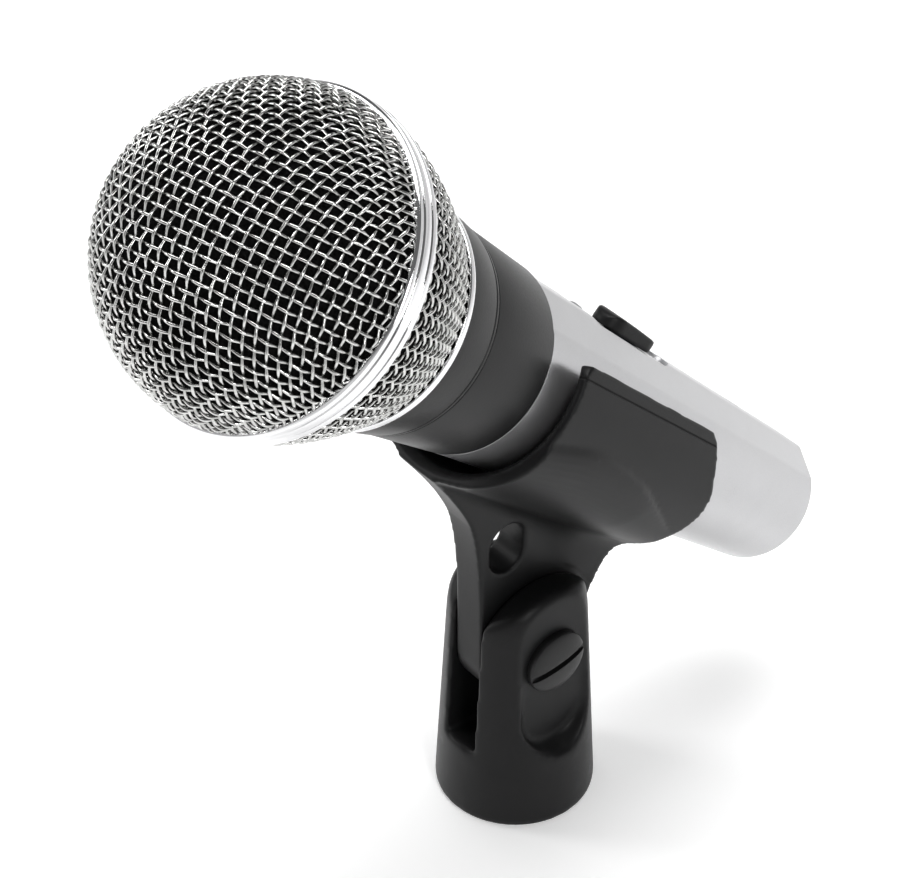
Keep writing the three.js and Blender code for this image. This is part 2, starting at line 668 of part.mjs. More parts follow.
function capsuleHousing() {
  return turned([
    [0, capsuleStation],
    [CAPSULE_RADIUS, capsuleStation],
    [CAPSULE_RADIUS, capsuleFront],
    [CAPSULE_RADIUS - CAPSULE_WALL, capsuleFront],
    [CAPSULE_RADIUS - CAPSULE_WALL, capsuleStation + CAPSULE_FLOOR],
    [0, capsuleStation + CAPSULE_FLOOR],
  ], INNER_ROUND);
}

function capsuleCap() {
  const start = capsuleFront + JOINT_GAP;
  const end = start + CAP_THICKNESS;
  const holes = [rod(CAP_HOLE_RADIUS, start - 1, end + 1, 10)];
  for (let i = 0; i < CAP_HOLE_COUNT; i += 1) {
    const [x, y] = polar(CAP_HOLE_CIRCLE, (360 / CAP_HOLE_COUNT) * i);
    holes.push(rod(CAP_HOLE_RADIUS, start - 1, end + 1, 10).translate(x, y, 0));
  }
  return cut(rod(CAPSULE_RADIUS, start, end, INNER_ROUND), ...holes);
}

function magnetYoke() {
  return turned([
    [0, yokeStation],
    [YOKE_RADIUS, yokeStation],
    [YOKE_RADIUS, yokeFront],
    [YOKE_RADIUS - YOKE_WALL, yokeFront],
    [YOKE_RADIUS - YOKE_WALL, yokeStation + YOKE_FLOOR],
    [0, yokeStation + YOKE_FLOOR],
  ], INNER_ROUND);
}

function voiceCoil() {
  return tube(coilBoreRadius, coilBoreRadius + COIL_WALL, coilFront - COIL_LENGTH, coilFront, INNER_ROUND);
}

function diaphragm() {
  const rim = CAPSULE_RADIUS - CAPSULE_WALL - JOINT_GAP;
  const flat = coilBoreRadius + COIL_WALL;
  const top = diaphragmStation + DIAPHRAGM_THICKNESS;
  const shoulder = top + DIAPHRAGM_RISE * 0.7;
  return turned([
    [0, diaphragmStation + DIAPHRAGM_RISE],
    [flat * 0.5, diaphragmStation + DIAPHRAGM_RISE * 0.7],
    [flat, diaphragmStation],
    [rim, diaphragmStation],
    [rim, top],
    [flat, top],
    [flat * 0.5, shoulder],
    [0, top + DIAPHRAGM_RISE],
  ], INNER_ROUND);
}

// ---------------------------------------------------------------- clip: cradle and arm in one
const cradleInside = (station) => handleRadiusAt(station) + CRADLE_AIR;
const cradleOutside = (station) => cradleInside(station) + CRADLE_WALL;

function fromArmToCradle(geometry) {
  return geometry.rotateX(-CRADLE_LEAN * DEGREE).translate(0, -AXIS_OFFSET, PIVOT_STATION);
}

function cradleCone(radiusAt, start, end) {
  return turned([[0, start], [radiusAt(start), start], [radiusAt(end), end], [0, end]]);
}

// Side outline of the barrel: its rear end slants forward up to the lips.
function barrelSide() {
  const low = -2 * cradleOutside(CRADLE_MOUTH_STATION);
  const high = cradleOutside(CRADLE_MOUTH_STATION);
  const shape = new THREE.Shape();
  shape.moveTo(low, CRADLE_REAR_STATION);
  shape.lineTo(-6, CRADLE_REAR_STATION);
  shape.quadraticCurveTo(-1, CRADLE_REAR_STATION, 2, CRADLE_REAR_STATION + 3.5);
  shape.lineTo(high, CRADLE_LIP_REAR_STATION + 2.5);
  const lip = cradleOutside(CRADLE_MOUTH_STATION) * Math.cos(CRADLE_LIP_ANGLE * DEGREE);
  shape.lineTo(high, CRADLE_MOUTH_STATION - LIP_CORNER_ROUND);
  shape.lineTo(lip, CRADLE_MOUTH_STATION - LIP_CORNER_ROUND);
  shape.quadraticCurveTo(lip, CRADLE_MOUTH_STATION, lip - LIP_CORNER_ROUND, CRADLE_MOUTH_STATION);
  shape.lineTo(low, CRADLE_MOUTH_STATION);
  return raisedAcross(shape, -2 * high, 2 * high);
}

function lipOpening() {
  const reach = 3 * BALL_RADIUS;
  const [x, y] = polar(reach, CRADLE_LIP_ANGLE);
  const shape = new THREE.Shape();
  shape.moveTo(0, 0);
  shape.lineTo(x, y);
  shape.lineTo(0, reach);
  shape.lineTo(-x, y);
  return raised(shape, CRADLE_REAR_STATION - 5, CRADLE_MOUTH_STATION + 5);
}

function gripRib(angle) {
  const low = CRADLE_REAR_STATION + 1;
  const high = CRADLE_MOUTH_STATION - GRIP_RIB_SETBACK;
  const shape = new THREE.Shape();
  shape.moveTo(handleRadiusAt(low) + JOINT_GAP, low);
  shape.lineTo(cradleOutside(low) - 0.5, low);
  shape.lineTo(cradleOutside(high) - 0.5, high);
  shape.lineTo(handleRadiusAt(high) + JOINT_GAP, high);
  const half = GRIP_RIB_WIDTH / 2;
  return raisedAcross(shape, -half, half).rotateZ(-angle * DEGREE);
}

// The arm seen from the side, in its own frame: Y to the rear, Z up, the pivot at the origin.
// Its front edge leaves the barrel's underside just behind the mouth.
function armSide() {
  const shape = new THREE.Shape();
  const end = ARM_END_RADIUS;
  const frontEdge = [[-24, 49], [-20, 43.4], [-17.3, 39.6], [-14.6, 35.8], [-12.3, 30.8], [-end - 0.8, 23.8]];
  shape.absarc(0, 0, end, Math.PI, 2 * Math.PI, false);
  shape.lineTo(end + 2.2, 2.3);
  shape.quadraticCurveTo(end + 4, 6.5, end + 5.5, 12.8);
  shape.lineTo(end + 13, 24);
  shape.lineTo(-6, 60);
  frontEdge.forEach(([y, z]) => shape.lineTo(y, z));
  shape.quadraticCurveTo(-end - 0.1, 18, -end, 10);
  shape.lineTo(-end, 0);
  return shape;
}

// One section of the fairing that widens the arm into the barrel, seen along the barrel. It
// leaves the barrel at the crease, follows it under and sweeps down to the arm's own thickness.
function fairingSection({ share, crease, under, depth }) {
  const span = CRADLE_MOUTH_STATION - CRADLE_REAR_STATION;
  const radius = cradleOutside(CRADLE_REAR_STATION + span * share);
  const side = [];
  for (let i = 0; i <= FAIRING_STEPS; i += 1) {
    const bulge = FAIRING_BULGE * Math.sin(Math.PI * Math.sqrt(i / FAIRING_STEPS) * 0.999);
    side.push(new THREE.Vector2(...polar(radius - 0.1 + bulge, crease + ((under - crease) * i) / FAIRING_STEPS)));
  }
  const last = side[side.length - 1];
  const half = ARM_THICKNESS / 2;
  const corner = new THREE.Vector2(half, last.y - (last.x - half) * Math.tan((180 - under) * DEGREE));
  const sweep = new THREE.QuadraticBezierCurve(last, corner, new THREE.Vector2(half, -radius - depth));
  side.push(...sweep.getPoints(FAIRING_STEPS).slice(1));
  return side.map(({ x, y }) => new THREE.Vector2(-x, y)).concat(side.reverse());
}

function fairing() {
  const span = CRADLE_MOUTH_STATION - CRADLE_REAR_STATION;
  const [rear] = FAIRING_SECTIONS;
  const overhang = { ...rear, share: -FAIRING_REAR_OVERHANG / span };
  return lofted([overhang, ...FAIRING_SECTIONS].map((section) => ({
    outline: fairingSection(section),
    height: CRADLE_REAR_STATION + span * section.share,
  })));
}

function clipCradle() {
  const start = CRADLE_REAR_STATION;
  const end = CRADLE_MOUTH_STATION;
  const barrel = cradleCone(cradleOutside, start, end);
  const half = ARM_THICKNESS / 2;
  const arm = fromArmToCradle(raisedAcross(armSide(), -half, half));
  const wideArm = fromArmToCradle(raisedAcross(armSide(), -cradleOutside(end), cradleOutside(end)));
  const earRoom = fromArmToCradle(rod(EAR_RADIUS + EAR_CLEARANCE, -BALL_RADIUS, BALL_RADIUS, ROUND)
    .rotateY(Math.PI / 2));
  const web = cut(overlapOf(wideArm, fairing()), earRoom);
  const whole = overlapOf(join(barrel, arm, web), join(barrelSide(), fromArmToCradle(armRoom())));
  const bore = join(cradleCone(cradleInside, start - 5, end + 5), mouthChamfer());
  const armHole = fromArmToCradle(raisedAcross(armHoleShape(), -BALL_RADIUS, BALL_RADIUS));
  const pivotHole = fromArmToCradle(rod(SCREW_SHANK_RADIUS + JOINT_GAP, -BALL_RADIUS, BALL_RADIUS)
    .rotateY(Math.PI / 2));
  const ribs = GRIP_RIB_ANGLES.map(gripRib);
  return join(cut(whole, bore, lipOpening(), armHole, pivotHole), ...ribs);
}

// The mouth's inner edge, opened out so that the handle slides in.
function mouthChamfer() {
  const end = CRADLE_MOUTH_STATION;
  const inside = cradleInside(end);
  return turned([
    [0, end - MOUTH_CHAMFER],
    [inside - 0.1, end - MOUTH_CHAMFER],
    [inside + MOUTH_CHAMFER, end + 0.1],
    [0, end + 0.1],
  ]);
}

// Everything below the barrel's rear corner, where only the arm is.
function armRoom() {
  const reach = 2 * BALL_RADIUS;
  return block(2 * ARM_THICKNESS, [-reach, ARM_END_RADIUS + 5.5], [-reach, 12.8]);
}

function armHoleShape() {
  const points = slotShape(ARM_HOLE_WIDTH, ARM_HOLE_LENGTH).getPoints(8);
  return new THREE.Shape(points.map((point) => point.add(new THREE.Vector2(-ARM_HOLE_FORWARD, ARM_HOLE_HEIGHT))));
}

// ---------------------------------------------------------------- stand base, insert, screw, nut
function earOutline(radius) {
  const shape = new THREE.Shape();
  shape.moveTo(-BASE_RADIUS - 1, 0);
  shape.lineTo(BASE_RADIUS + 1, 0);
  shape.lineTo(BASE_RADIUS + 1, PIVOT_HEIGHT);
  shape.lineTo(radius, PIVOT_HEIGHT);
  shape.absarc(0, PIVOT_HEIGHT, radius, 0, Math.PI, false);
  shape.lineTo(-BASE_RADIUS - 1, PIVOT_HEIGHT);
  return shape;
}

function pocketOutline() {
  const round = POCKET_HALF_WIDTH;
  const shape = new THREE.Shape();
  shape.absarc(0, POCKET_FLOOR_HEIGHT + round, round, Math.PI, 2 * Math.PI, false);
  shape.lineTo(round, PIVOT_HEIGHT + 2 * EAR_RADIUS);
  shape.lineTo(-round, PIVOT_HEIGHT + 2 * EAR_RADIUS);
  return shape;
}

function standBase() {
  const top = PIVOT_HEIGHT + EAR_RADIUS;
  const cone = turned([
    [0, 0],
    [BASE_RADIUS - BASE_EDGE, 0],
    [BASE_RADIUS, BASE_EDGE],
    [BASE_NECK_RADIUS, top - 4],
    [BASE_NECK_RADIUS - 1, top - 1.5],
    [BASE_NECK_RADIUS - 2.5, top],
    [0, top],
  ]);
  const reach = 2 * BASE_RADIUS;
  const ears = overlapOf(cone, raisedAcross(earOutline(EAR_RADIUS), -reach, reach));
  const slot = block(slotWidth, [-reach, reach], [SLOT_FLOOR_HEIGHT, top + 5]);
  const screwPocket = raisedAcross(pocketOutline(), POCKET_FACE, reach);
  const nutPocket = raisedAcross(pocketOutline(), -reach, -POCKET_FACE);
  const screwHole = rod(SCREW_SHANK_RADIUS + JOINT_GAP, -reach, reach)
    .rotateY(Math.PI / 2)
    .translate(0, 0, PIVOT_HEIGHT);
  const nutHole = hexRod(NUT_ACROSS_FLATS + 2 * JOINT_GAP, -reach, nutInnerFace + JOINT_GAP);
  const insertBore = rod(INSERT_RADIUS + JOINT_GAP, -1, INSERT_RECESS + INSERT_HEIGHT + JOINT_GAP, ROUND);
  return cut(ears, slot, screwPocket, nutPocket, screwHole, nutHole, insertBore);
}

const nutInnerFace = -POCKET_FACE + NUT_RECESS + NUT_THICKNESS;

function hexRod(acrossFlats, start, end) {
  return rod(acrossFlats / Math.sqrt(3), start, end, 6).rotateY(Math.PI / 2).translate(0, 0, PIVOT_HEIGHT);
}

function pivotNut() {
  const bore = rod(SCREW_SHANK_RADIUS + JOINT_GAP, -2 * BASE_RADIUS, 0)
    .rotateY(Math.PI / 2)
    .translate(0, 0, PIVOT_HEIGHT);
  return cut(hexRod(NUT_ACROSS_FLATS, nutInnerFace - NUT_THICKNESS, nutInnerFace), bore);
}

function threadInsert() {
  const top = INSERT_RECESS + INSERT_HEIGHT;
  return turned([
    [STAND_THREAD_RADIUS + STAND_THREAD_CHAMFER, INSERT_RECESS],
    [INSERT_RADIUS, INSERT_RECESS],
    [INSERT_RADIUS, top],
    [STAND_THREAD_RADIUS, top],
    [STAND_THREAD_RADIUS, INSERT_RECESS + STAND_THREAD_CHAMFER],
  ]);
}

// Domed slotted head towards +X, shank through both ears and the arm to the nut.
function pivotScrew() {
  const seat = POCKET_FACE + JOINT_GAP;
  const rim = seat + SCREW_HEAD_EDGE;
  const crown = rim + SCREW_HEAD_DOME;
  const screw = turned([
    [0, -POCKET_FACE + NUT_RECESS],
    [SCREW_SHANK_RADIUS, -POCKET_FACE + NUT_RECESS],
    [SCREW_SHANK_RADIUS, seat],
    [SCREW_HEAD_RADIUS, seat],
    [SCREW_HEAD_RADIUS, rim],
    [SCREW_HEAD_RADIUS * 0.85, rim + SCREW_HEAD_DOME * 0.5],
    [SCREW_HEAD_RADIUS * 0.5, rim + SCREW_HEAD_DOME * 0.88],
    [0, crown],
  ], 36);
  const reach = SCREW_HEAD_RADIUS + 1;
  const slot = block(SCREW_SLOT_WIDTH, [-reach, reach], [crown - SCREW_SLOT_DEPTH, crown + 1]);
  return cut(screw, slot)
    .rotateY(Math.PI / 2)
    .rotateX(SCREW_SLOT_ANGLE * DEGREE)
    .translate(0, 0, PIVOT_HEIGHT);
}

// ---------------------------------------------------------------- assembly
const microphone = new THREE.Group();
microphone.add(
  part('handle', handle(), SILVER_ENAMEL),
  part('neck_sleeve', neckSleeve(), BLACK_ENAMEL),
  part('name_ring', nameRing(), BLACK_ENAMEL),
  part('switch_plate', switchPlate(), SILVER_ENAMEL),
  part('switch_plate_screw', switchPlateScrew(), STEEL),
  part('switch_body', switchBody(), BLACK_MOULDING),
  part('switch_knob', switchKnob(), BLACK_MOULDING),
  part('connector_insulator', connectorInsulator(), BLACK_MOULDING),
  part('connector_screw', connectorScrew(), STEEL),
  part('transformer_core', transformerCore(), STEEL),
  part('transformer_coil', transformerCoil(), COPPER),
  part('shock_mount', shockMount(), RUBBER),
  part('capsule_housing', capsuleHousing(), ALUMINIUM),
  part('capsule_cap', capsuleCap(), ALUMINIUM),
  part('magnet_yoke', magnetYoke(), STEEL),
  part('magnet', rod(MAGNET_RADIUS, magnetStation, magnetStation + MAGNET_LENGTH, INNER_ROUND), MAGNET_GREY),
  part('pole_piece', rod(POLE_RADIUS, poleStation, yokeFront, INNER_ROUND), STEEL),
  part('voice_coil', voiceCoil(), COPPER),
  part('diaphragm', diaphragm(), FILM),
  part('grille_collar', grilleCollar(), BRIGHT_CHROME),
  part('rear_grille', rearGrille(), WIRE_CHROME),
  part('grille_band', grilleBand(), BRIGHT_CHROME),
  part('front_grille', frontGrille(), WIRE_CHROME),
  part('foam_windscreen', foamWindscreen(), FOAM),
);
for (const [angle, name] of pinPlaces) microphone.add(part(name, connectorPin(angle), BRASS));

// The cradle's frame: Z along the microphone from its rear rim, Y to its top.
const cradleFrame = new THREE.Group();
cradleFrame.add(part('clip_cradle', clipCradle(), BLACK_MOULDING), microphone);
cradleFrame.position.set(0, AXIS_OFFSET, -PIVOT_STATION);

const lean = new THREE.Group();
lean.rotation.x = CRADLE_LEAN * DEGREE;
lean.position.z = PIVOT_HEIGHT;
lean.add(cradleFrame);

const group = new THREE.Group();
group.add(
  part('stand_base', standBase(), BLACK_MOULDING),
  part('thread_insert', threadInsert(), BRASS),
  part('pivot_nut', pivotNut(), STEEL),
  part('pivot_screw', pivotScrew(), BLACK_ENAMEL),
  lean,
);

export default group;
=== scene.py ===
import json
import math

import bmesh
import bpy
from mathutils import Matrix, Vector


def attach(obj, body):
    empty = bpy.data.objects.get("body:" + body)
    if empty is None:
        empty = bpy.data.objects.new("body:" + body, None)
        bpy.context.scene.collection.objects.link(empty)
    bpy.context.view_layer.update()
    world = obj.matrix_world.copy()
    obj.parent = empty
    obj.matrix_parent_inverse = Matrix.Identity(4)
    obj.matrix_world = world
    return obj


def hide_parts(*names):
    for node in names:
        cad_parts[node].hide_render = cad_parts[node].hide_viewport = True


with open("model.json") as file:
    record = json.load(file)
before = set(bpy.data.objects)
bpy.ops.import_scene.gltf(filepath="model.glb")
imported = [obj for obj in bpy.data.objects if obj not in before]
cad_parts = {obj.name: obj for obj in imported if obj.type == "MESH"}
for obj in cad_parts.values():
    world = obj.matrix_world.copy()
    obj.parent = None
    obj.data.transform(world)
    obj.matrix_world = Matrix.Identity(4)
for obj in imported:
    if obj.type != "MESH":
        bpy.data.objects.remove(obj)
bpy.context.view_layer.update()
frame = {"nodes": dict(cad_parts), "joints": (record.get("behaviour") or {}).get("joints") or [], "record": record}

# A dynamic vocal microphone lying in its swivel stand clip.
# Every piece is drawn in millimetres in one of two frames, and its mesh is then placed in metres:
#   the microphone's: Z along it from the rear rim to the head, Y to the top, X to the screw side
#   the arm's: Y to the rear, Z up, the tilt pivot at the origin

MM = 0.001
DEGREE = math.pi / 180

JOINTS = {joint["name"]: joint for joint in frame["joints"]}
MOUNTS = {mount["name"]: mount for mount in frame["record"]["mounts"]}


def upright_frame(origin):
    return Matrix.Translation(origin) @ Matrix.Scale(MM, 4)


def microphone_frame():
    """The rear rim's middle, with Z along the microphone."""
    rim = Vector(MOUNTS["cable_end"]["pos_m"])
    along = Vector(JOINTS["microphone_slide"]["axis"]).normalized()
    across = Vector((1, 0, 0))
    top = along.cross(across)
    turn = Matrix((across, top, along)).transposed().to_4x4()
    return Matrix.Translation((0, rim.y, rim.z)) @ turn @ Matrix.Scale(MM, 4)


PIVOT = Vector(JOINTS["clip_tilt"]["pos_m"])
MIC = microphone_frame()
ARM = upright_frame(PIVOT)
STAND = upright_frame((0, 0, 0))

# ---------------------------------------------------------------- sizes in millimetres
GAP = 0.15  # seam between two pieces that touch

HANDLE_LENGTH = 88
HANDLE_REAR_RADIUS = 11.5
HANDLE_FRONT_RADIUS = 15.4
HANDLE_WALL = 1.8
TOP_FLAT_ANGLE = 16
SIDE_FLAT_ANGLE = 48
RIDGE_ROUND_ANGLE = 2.2  # half the arc that rounds each ridge between two flats

NECK_STATION = 88.3
NECK_FRONT_RADIUS = 16.8
RING_STATION = 104.6
RING_FRONT_RADIUS = 18.3
COLLAR_STATION = 113.1
COLLAR_LENGTH = 1.0
COLLAR_RADIUS = 18.6
REAR_MESH_STATION = 114.4
BAND_STATION = 132.3
BAND_LENGTH = 4.3
BAND_RADIUS = 25.5
BALL_RADIUS = 25.4
BALL_STATION = BAND_STATION + BAND_LENGTH * 0.6

WIRE_RADIUS = 0.255
WIRE_PITCH = 1.72
MESH_SINK = 0.35  # how far the wires lie inside the ball's full size
WIRE_SIDES = 6
WIRE_STEPS = 5  # points between two crossings
WEAVE_TURN = 8  # turn of the front mesh's weave about the microphone
REAR_WIRE_COUNT = 58

SWITCH_STATION = 60
SWITCH_LENGTH = 28
SWITCH_WIDTH = 9.6
PLATE_DROP = 0.6  # how deep the plate lies in its recess
PLATE_SCREW_OFFSET = 11.6  # in front of the recess's middle
KNOB_LENGTH = 13.8
KNOB_WIDTH = 5.9
KNOB_FRONT_HEIGHT = 2.1
KNOB_REAR_HEIGHT = 1.7
KNOB_SETBACK = 2.2  # how far the knob rests behind the recess's middle
CABLE_SCREW_STATION = 21.6

CRADLE_REAR = 35.5
CRADLE_MOUTH = 83.7
CRADLE_AIR = 1.75
CRADLE_WALL = 2.2
LIP_ANGLE = 62  # from the top
LIP_SHADED_GROOVE_ANGLE = 68.8  # of the groove below the lip, whose colour is also darkened as painted shade
ARM_THICKNESS = 6.2
ARM_END = 10.2
ARM_HOLE_WIDTH = 7.0
ARM_HOLE_LENGTH = 9.4
ARM_HOLE_PLACE = (-4.9, 22)
PIVOT_HOLE_RADIUS = 2.7
FORK_AIR = 0.3  # on each side of the arm
FORK_FLOOR = 14.3
EAR_RADIUS = 13.2
MOULDING_SKIN = 0.36  # size of the even skin over each moulding

# Sections of the fairing from the barrel's rear end (0) to its mouth (1): where it leaves the barrel,
# where it turns in under it (both in degrees from the top), and how far it sweeps down below.
FAIRING_SECTIONS = [
    (-0.4, 126, 150, 11),
    (0, 124, 150, 11),
    (0.18, 114.5, 152, 7.5),
    (0.32, 106, 156, 4.6),
    (0.45, 99.6, 159, 3.0),
    (0.73, 95, 161, 2.6),
    (1, 101, 163, 2.3),
]
FAIRING_BULGE = 1.15
FAIRING_STEPS = 16

WALL_LIGHT = 0.7
CEILING_LIGHT = 0.12

MOULDING_BLACKS = ((0.004, 0.004, 0.0042), (0.009, 0.009, 0.0095))


# ---------------------------------------------------------------- shader maths
class Value:
    """A socket that takes part in expressions: value * 2 + noise adds Math nodes."""

    def __init__(self, finish, socket):
        self.finish = finish
        self.socket = socket

    def _math(self, operation, first, second):
        return self.finish.add("ShaderNodeMath", {"operation": operation}, {0: first, 1: second})

    def __add__(self, other):
        return self._math("ADD", self, other)

    def __radd__(self, other):
        return self._math("ADD", other, self)

    def __sub__(self, other):
        return self._math("SUBTRACT", self, other)

    def __rsub__(self, other):
        return self._math("SUBTRACT", other, self)

    def __mul__(self, other):
        return self._math("MULTIPLY", self, other)

    def __rmul__(self, other):
        return self._math("MULTIPLY", other, self)

    def __abs__(self):
        return self._math("ABSOLUTE", self, 0.0)


class Finish:
    """One material, built node by node on a Principled shader."""

    def __init__(self, name, **settings):
        self.material = bpy.data.materials.new(name)
        self.material.use_nodes = True
        self.tree = self.material.node_tree
        self.shader = self.tree.nodes["Principled BSDF"]
        for socket, value in settings.items():
            self.set(socket.replace("_", " "), value)

    def set(self, socket, value):
        target = next(s for s in self.shader.inputs if s.name.lower() == socket.lower())
        self._feed(target, value)

    def _feed(self, target, value):
        if isinstance(value, Value):
            self.tree.links.new(value.socket, target)
        else:
            target.default_value = value

    def add(self, node_type, settings=None, inputs=None, output=0):
        """A node with its settings made first, then the values or links of its sockets."""
        node = self.tree.nodes.new(node_type)
        for key, value in (settings or {}).items():
            if key == "stops":
                self._set_stops(node.color_ramp, value)
            else:
                setattr(node, key, value)
        for key, value in (inputs or {}).items():
            self._feed(node.inputs[key], value)
        return Value(self, node.outputs[output])

    @staticmethod
    def _set_stops(ramp, stops):
        while len(ramp.elements) > len(stops):
            ramp.elements.remove(ramp.elements[-1])
        while len(ramp.elements) < len(stops):
            ramp.elements.new(1)
        for element, (place, colour) in zip(ramp.elements, stops):
            element.position = place
            element.color = (*colour, 1)

    def place(self):
        return self.add("ShaderNodeTexCoord", output="Object")

    def stretched(self, scale):
        return self.add("ShaderNodeMapping", inputs={"Vector": self.place(), "Scale": scale})

    def noise(self, grain_mm, detail=3, roughness=0.6, where=None):
        """Noise from 0 to 1 with grains of about this size."""
        inputs = {"Vector": where or self.place(), "Scale": 1 / (grain_mm * MM)}
        inputs["Detail"] = detail
        inputs["Roughness"] = roughness
        return self.add("ShaderNodeTexNoise", {}, inputs, output="Fac")

    def cells(self, size_mm):
        inputs = {"Vector": self.place(), "Scale": 1 / (size_mm * MM)}
        return self.add("ShaderNodeTexVoronoi", {}, inputs, output="Distance")

    def between(self, low, high, mask):
        """A colour that goes from low to high as the mask goes from 0 to 1."""
        stops = [(0.0, low), (1.0, high)]
        return self.add("ShaderNodeValToRGB", {"stops": stops}, {"Fac": mask}, output="Color")

    def ramp(self, mask, start, end):
        """0 below start, 1 above end, smooth between."""
        settings = {"interpolation_type": "SMOOTHSTEP"}
        return self.add("ShaderNodeMapRange", settings, {"Value": mask, "From Min": start, "From Max": end})

    def along(self, direction, start):
        """Millimetres from a starting point in one direction."""
        where = self.add("ShaderNodeVectorMath", {"operation": "SUBTRACT"}, {0: self.place(), 1: start})
        return self.add("ShaderNodeVectorMath", {"operation": "DOT_PRODUCT"},
                        {0: where, 1: direction}, output="Value") * (1 / MM)

    def bump(self, height, depth_mm, strength=1.0):
        inputs = {"Height": height, "Distance": depth_mm * MM, "Strength": strength}
        self.set("Normal", self.add("ShaderNodeBump", {}, inputs))


class Surroundings(Finish):
    """The same node building on a world's Background shader."""

    def __init__(self, name):
        self.world = bpy.data.worlds.new(name)
        self.world.use_nodes = True
        self.tree = self.world.node_tree
        self.shader = self.tree.nodes["Background"]


def silver_enamel():
    finish = Finish("silver_enamel", metallic=0.85, coat_weight=0.2, coat_roughness=0.3)
    flakes = finish.noise(0.16, detail=2, roughness=0.7)
    clouds = finish.noise(9, detail=2)
    sparkle = flakes * 0.7 + clouds * 0.3
    finish.set("base color", finish.between((0.40, 0.40, 0.41), (0.60, 0.60, 0.61), sparkle))
    finish.set("roughness", 0.22 + 0.12 * flakes + 0.05 * clouds)
    finish.bump(flakes + 0.4 * finish.noise(0.9), 0.014)
    return finish.material


def black_enamel():
    finish = Finish("black_enamel", specular_ior_level=0.28)
    peel = finish.noise(0.35, detail=2)
    haze = finish.noise(6, detail=3)
    finish.set("base color", finish.between((0.005, 0.005, 0.005), (0.010, 0.010, 0.0105), haze))
    finish.set("roughness", 0.30 + 0.10 * peel + 0.08 * haze)
    finish.bump(peel, 0.012)
    return finish.material


def black_moulding():
    finish = Finish("black_moulding", specular_ior_level=0.17)
    grain = finish.noise(0.22, detail=3, roughness=0.7)
    haze = finish.noise(7, detail=3)
    rubbed = finish.ramp(finish.noise(3.5, detail=5), 0.55, 0.75)
    finish.set("base color", finish.between(*MOULDING_BLACKS, haze * 0.7 + grain * 0.3))
    finish.set("roughness", 0.36 + 0.12 * grain - 0.08 * rubbed)
    finish.bump(grain, 0.018)
    return finish.material


def clip_moulding():
    """The black moulding with a fine groove just below each lip of the cradle, its colour darkened there as
    painted shade.
    """
    finish = Finish("clip_moulding", specular_ior_level=0.17)
    grain = finish.noise(0.22, detail=3, roughness=0.7)
    haze = finish.noise(7, detail=3)
    rim = MIC.translation
    across = abs(finish.along((1, 0, 0), rim))
    upward = finish.along((MIC.to_3x3().normalized() @ Vector((0, 1, 0))), rim)
    off_line = abs(upward * math.sin(LIP_SHADED_GROOVE_ANGLE * DEGREE) - across * math.cos(LIP_SHADED_GROOVE_ANGLE * DEGREE))
    line = 1 - finish.ramp(off_line, 0.06, 0.24)
    # painted shade: along the groove the base colour drops to the darkest black, standing in for shade in the
    # crease; the bump and roughness shape the groove itself
    finish.set("base color", finish.between(*MOULDING_BLACKS, (haze * 0.7 + grain * 0.3) * (1 - line)))
    finish.set("roughness", 0.36 + 0.12 * grain + 0.3 * line)
    finish.bump(grain * 0.12 - line, 0.15)
    return finish.material


def bright_chrome():
    finish = Finish("bright_chrome", metallic=1.0, base_color=(0.86, 0.86, 0.87, 1))
    hairlines = finish.noise(0.4, detail=4, where=finish.stretched((1, 12, 12)))
    smudges = finish.ramp(finish.noise(5), 0.45, 0.7)
    finish.set("roughness", 0.05 + 0.05 * hairlines + 0.06 * smudges)
    finish.bump(hairlines, 0.003)
    return finish.material


def wire_chrome():
    finish = Finish("wire_chrome", metallic=1.0)
    tarnish = finish.noise(1.4, detail=4)
    clean = finish.ramp(tarnish, 0.3, 0.6)
    finish.set("base color", finish.between((0.40, 0.40, 0.39), (0.66, 0.66, 0.65), clean))
    finish.set("roughness", 0.10 + 0.12 * tarnish)
    finish.bump(finish.noise(0.12), 0.01)
    return finish.material


def foam():
    finish = Finish("foam", specular_ior_level=0.05)
    pores = finish.cells(0.55)
    finish.set("base color", finish.between((0.0015, 0.0015, 0.0015), (0.009, 0.009, 0.009), pores))
    finish.set("roughness", 0.9 + 0.1 * pores)
    finish.bump(pores, 0.25)
    return finish.material


def bare_metal(name, dark, light, roughness):
    finish = Finish(name, metallic=1.0)
    brushed = finish.noise(0.3, detail=4, where=finish.stretched((1, 8, 8)))
    stain = finish.noise(2.5, detail=4)
    finish.set("base color", finish.between(dark, light, stain))
    finish.set("roughness", roughness + 0.12 * brushed)
    finish.bump(brushed, 0.006)
    return finish.material


def plain_soft(name, dark, light, roughness, grain_mm, depth_mm):
    finish = Finish(name)
    grain = finish.noise(grain_mm, detail=4)
    finish.set("base color", finish.between(dark, light, grain))
    finish.set("roughness", roughness + 0.1 * grain)
    finish.bump(grain, depth_mm)
    return finish.material


FINISHES = {
    "silver_enamel": silver_enamel(),
    "black_enamel": black_enamel(),
    "black_moulding": black_moulding(),
    "clip_moulding": clip_moulding(),
    "bright_chrome": bright_chrome(),
    "wire_chrome": wire_chrome(),
    "foam": foam(),
    "brass": bare_metal("brass", (0.42, 0.27, 0.08), (0.72, 0.52, 0.21), 0.24),
    "steel": bare_metal("steel", (0.35, 0.35, 0.36), (0.60, 0.60, 0.61), 0.30),
    "aluminium": bare_metal("aluminium", (0.62, 0.62, 0.63), (0.78, 0.78, 0.79), 0.34),
    "magnet_alloy": bare_metal("magnet_alloy", (0.12, 0.12, 0.13), (0.26, 0.26, 0.27), 0.40),
    "copper_wire": bare_metal("copper_wire", (0.45, 0.16, 0.07), (0.74, 0.33, 0.17), 0.28),
    "rubber": plain_soft("rubber", (0.012, 0.012, 0.012), (0.03, 0.03, 0.03), 0.7, 0.4, 0.03),
    "film": plain_soft("film", (0.66, 0.60, 0.42), (0.80, 0.75, 0.58), 0.25, 1.2, 0.004),
}


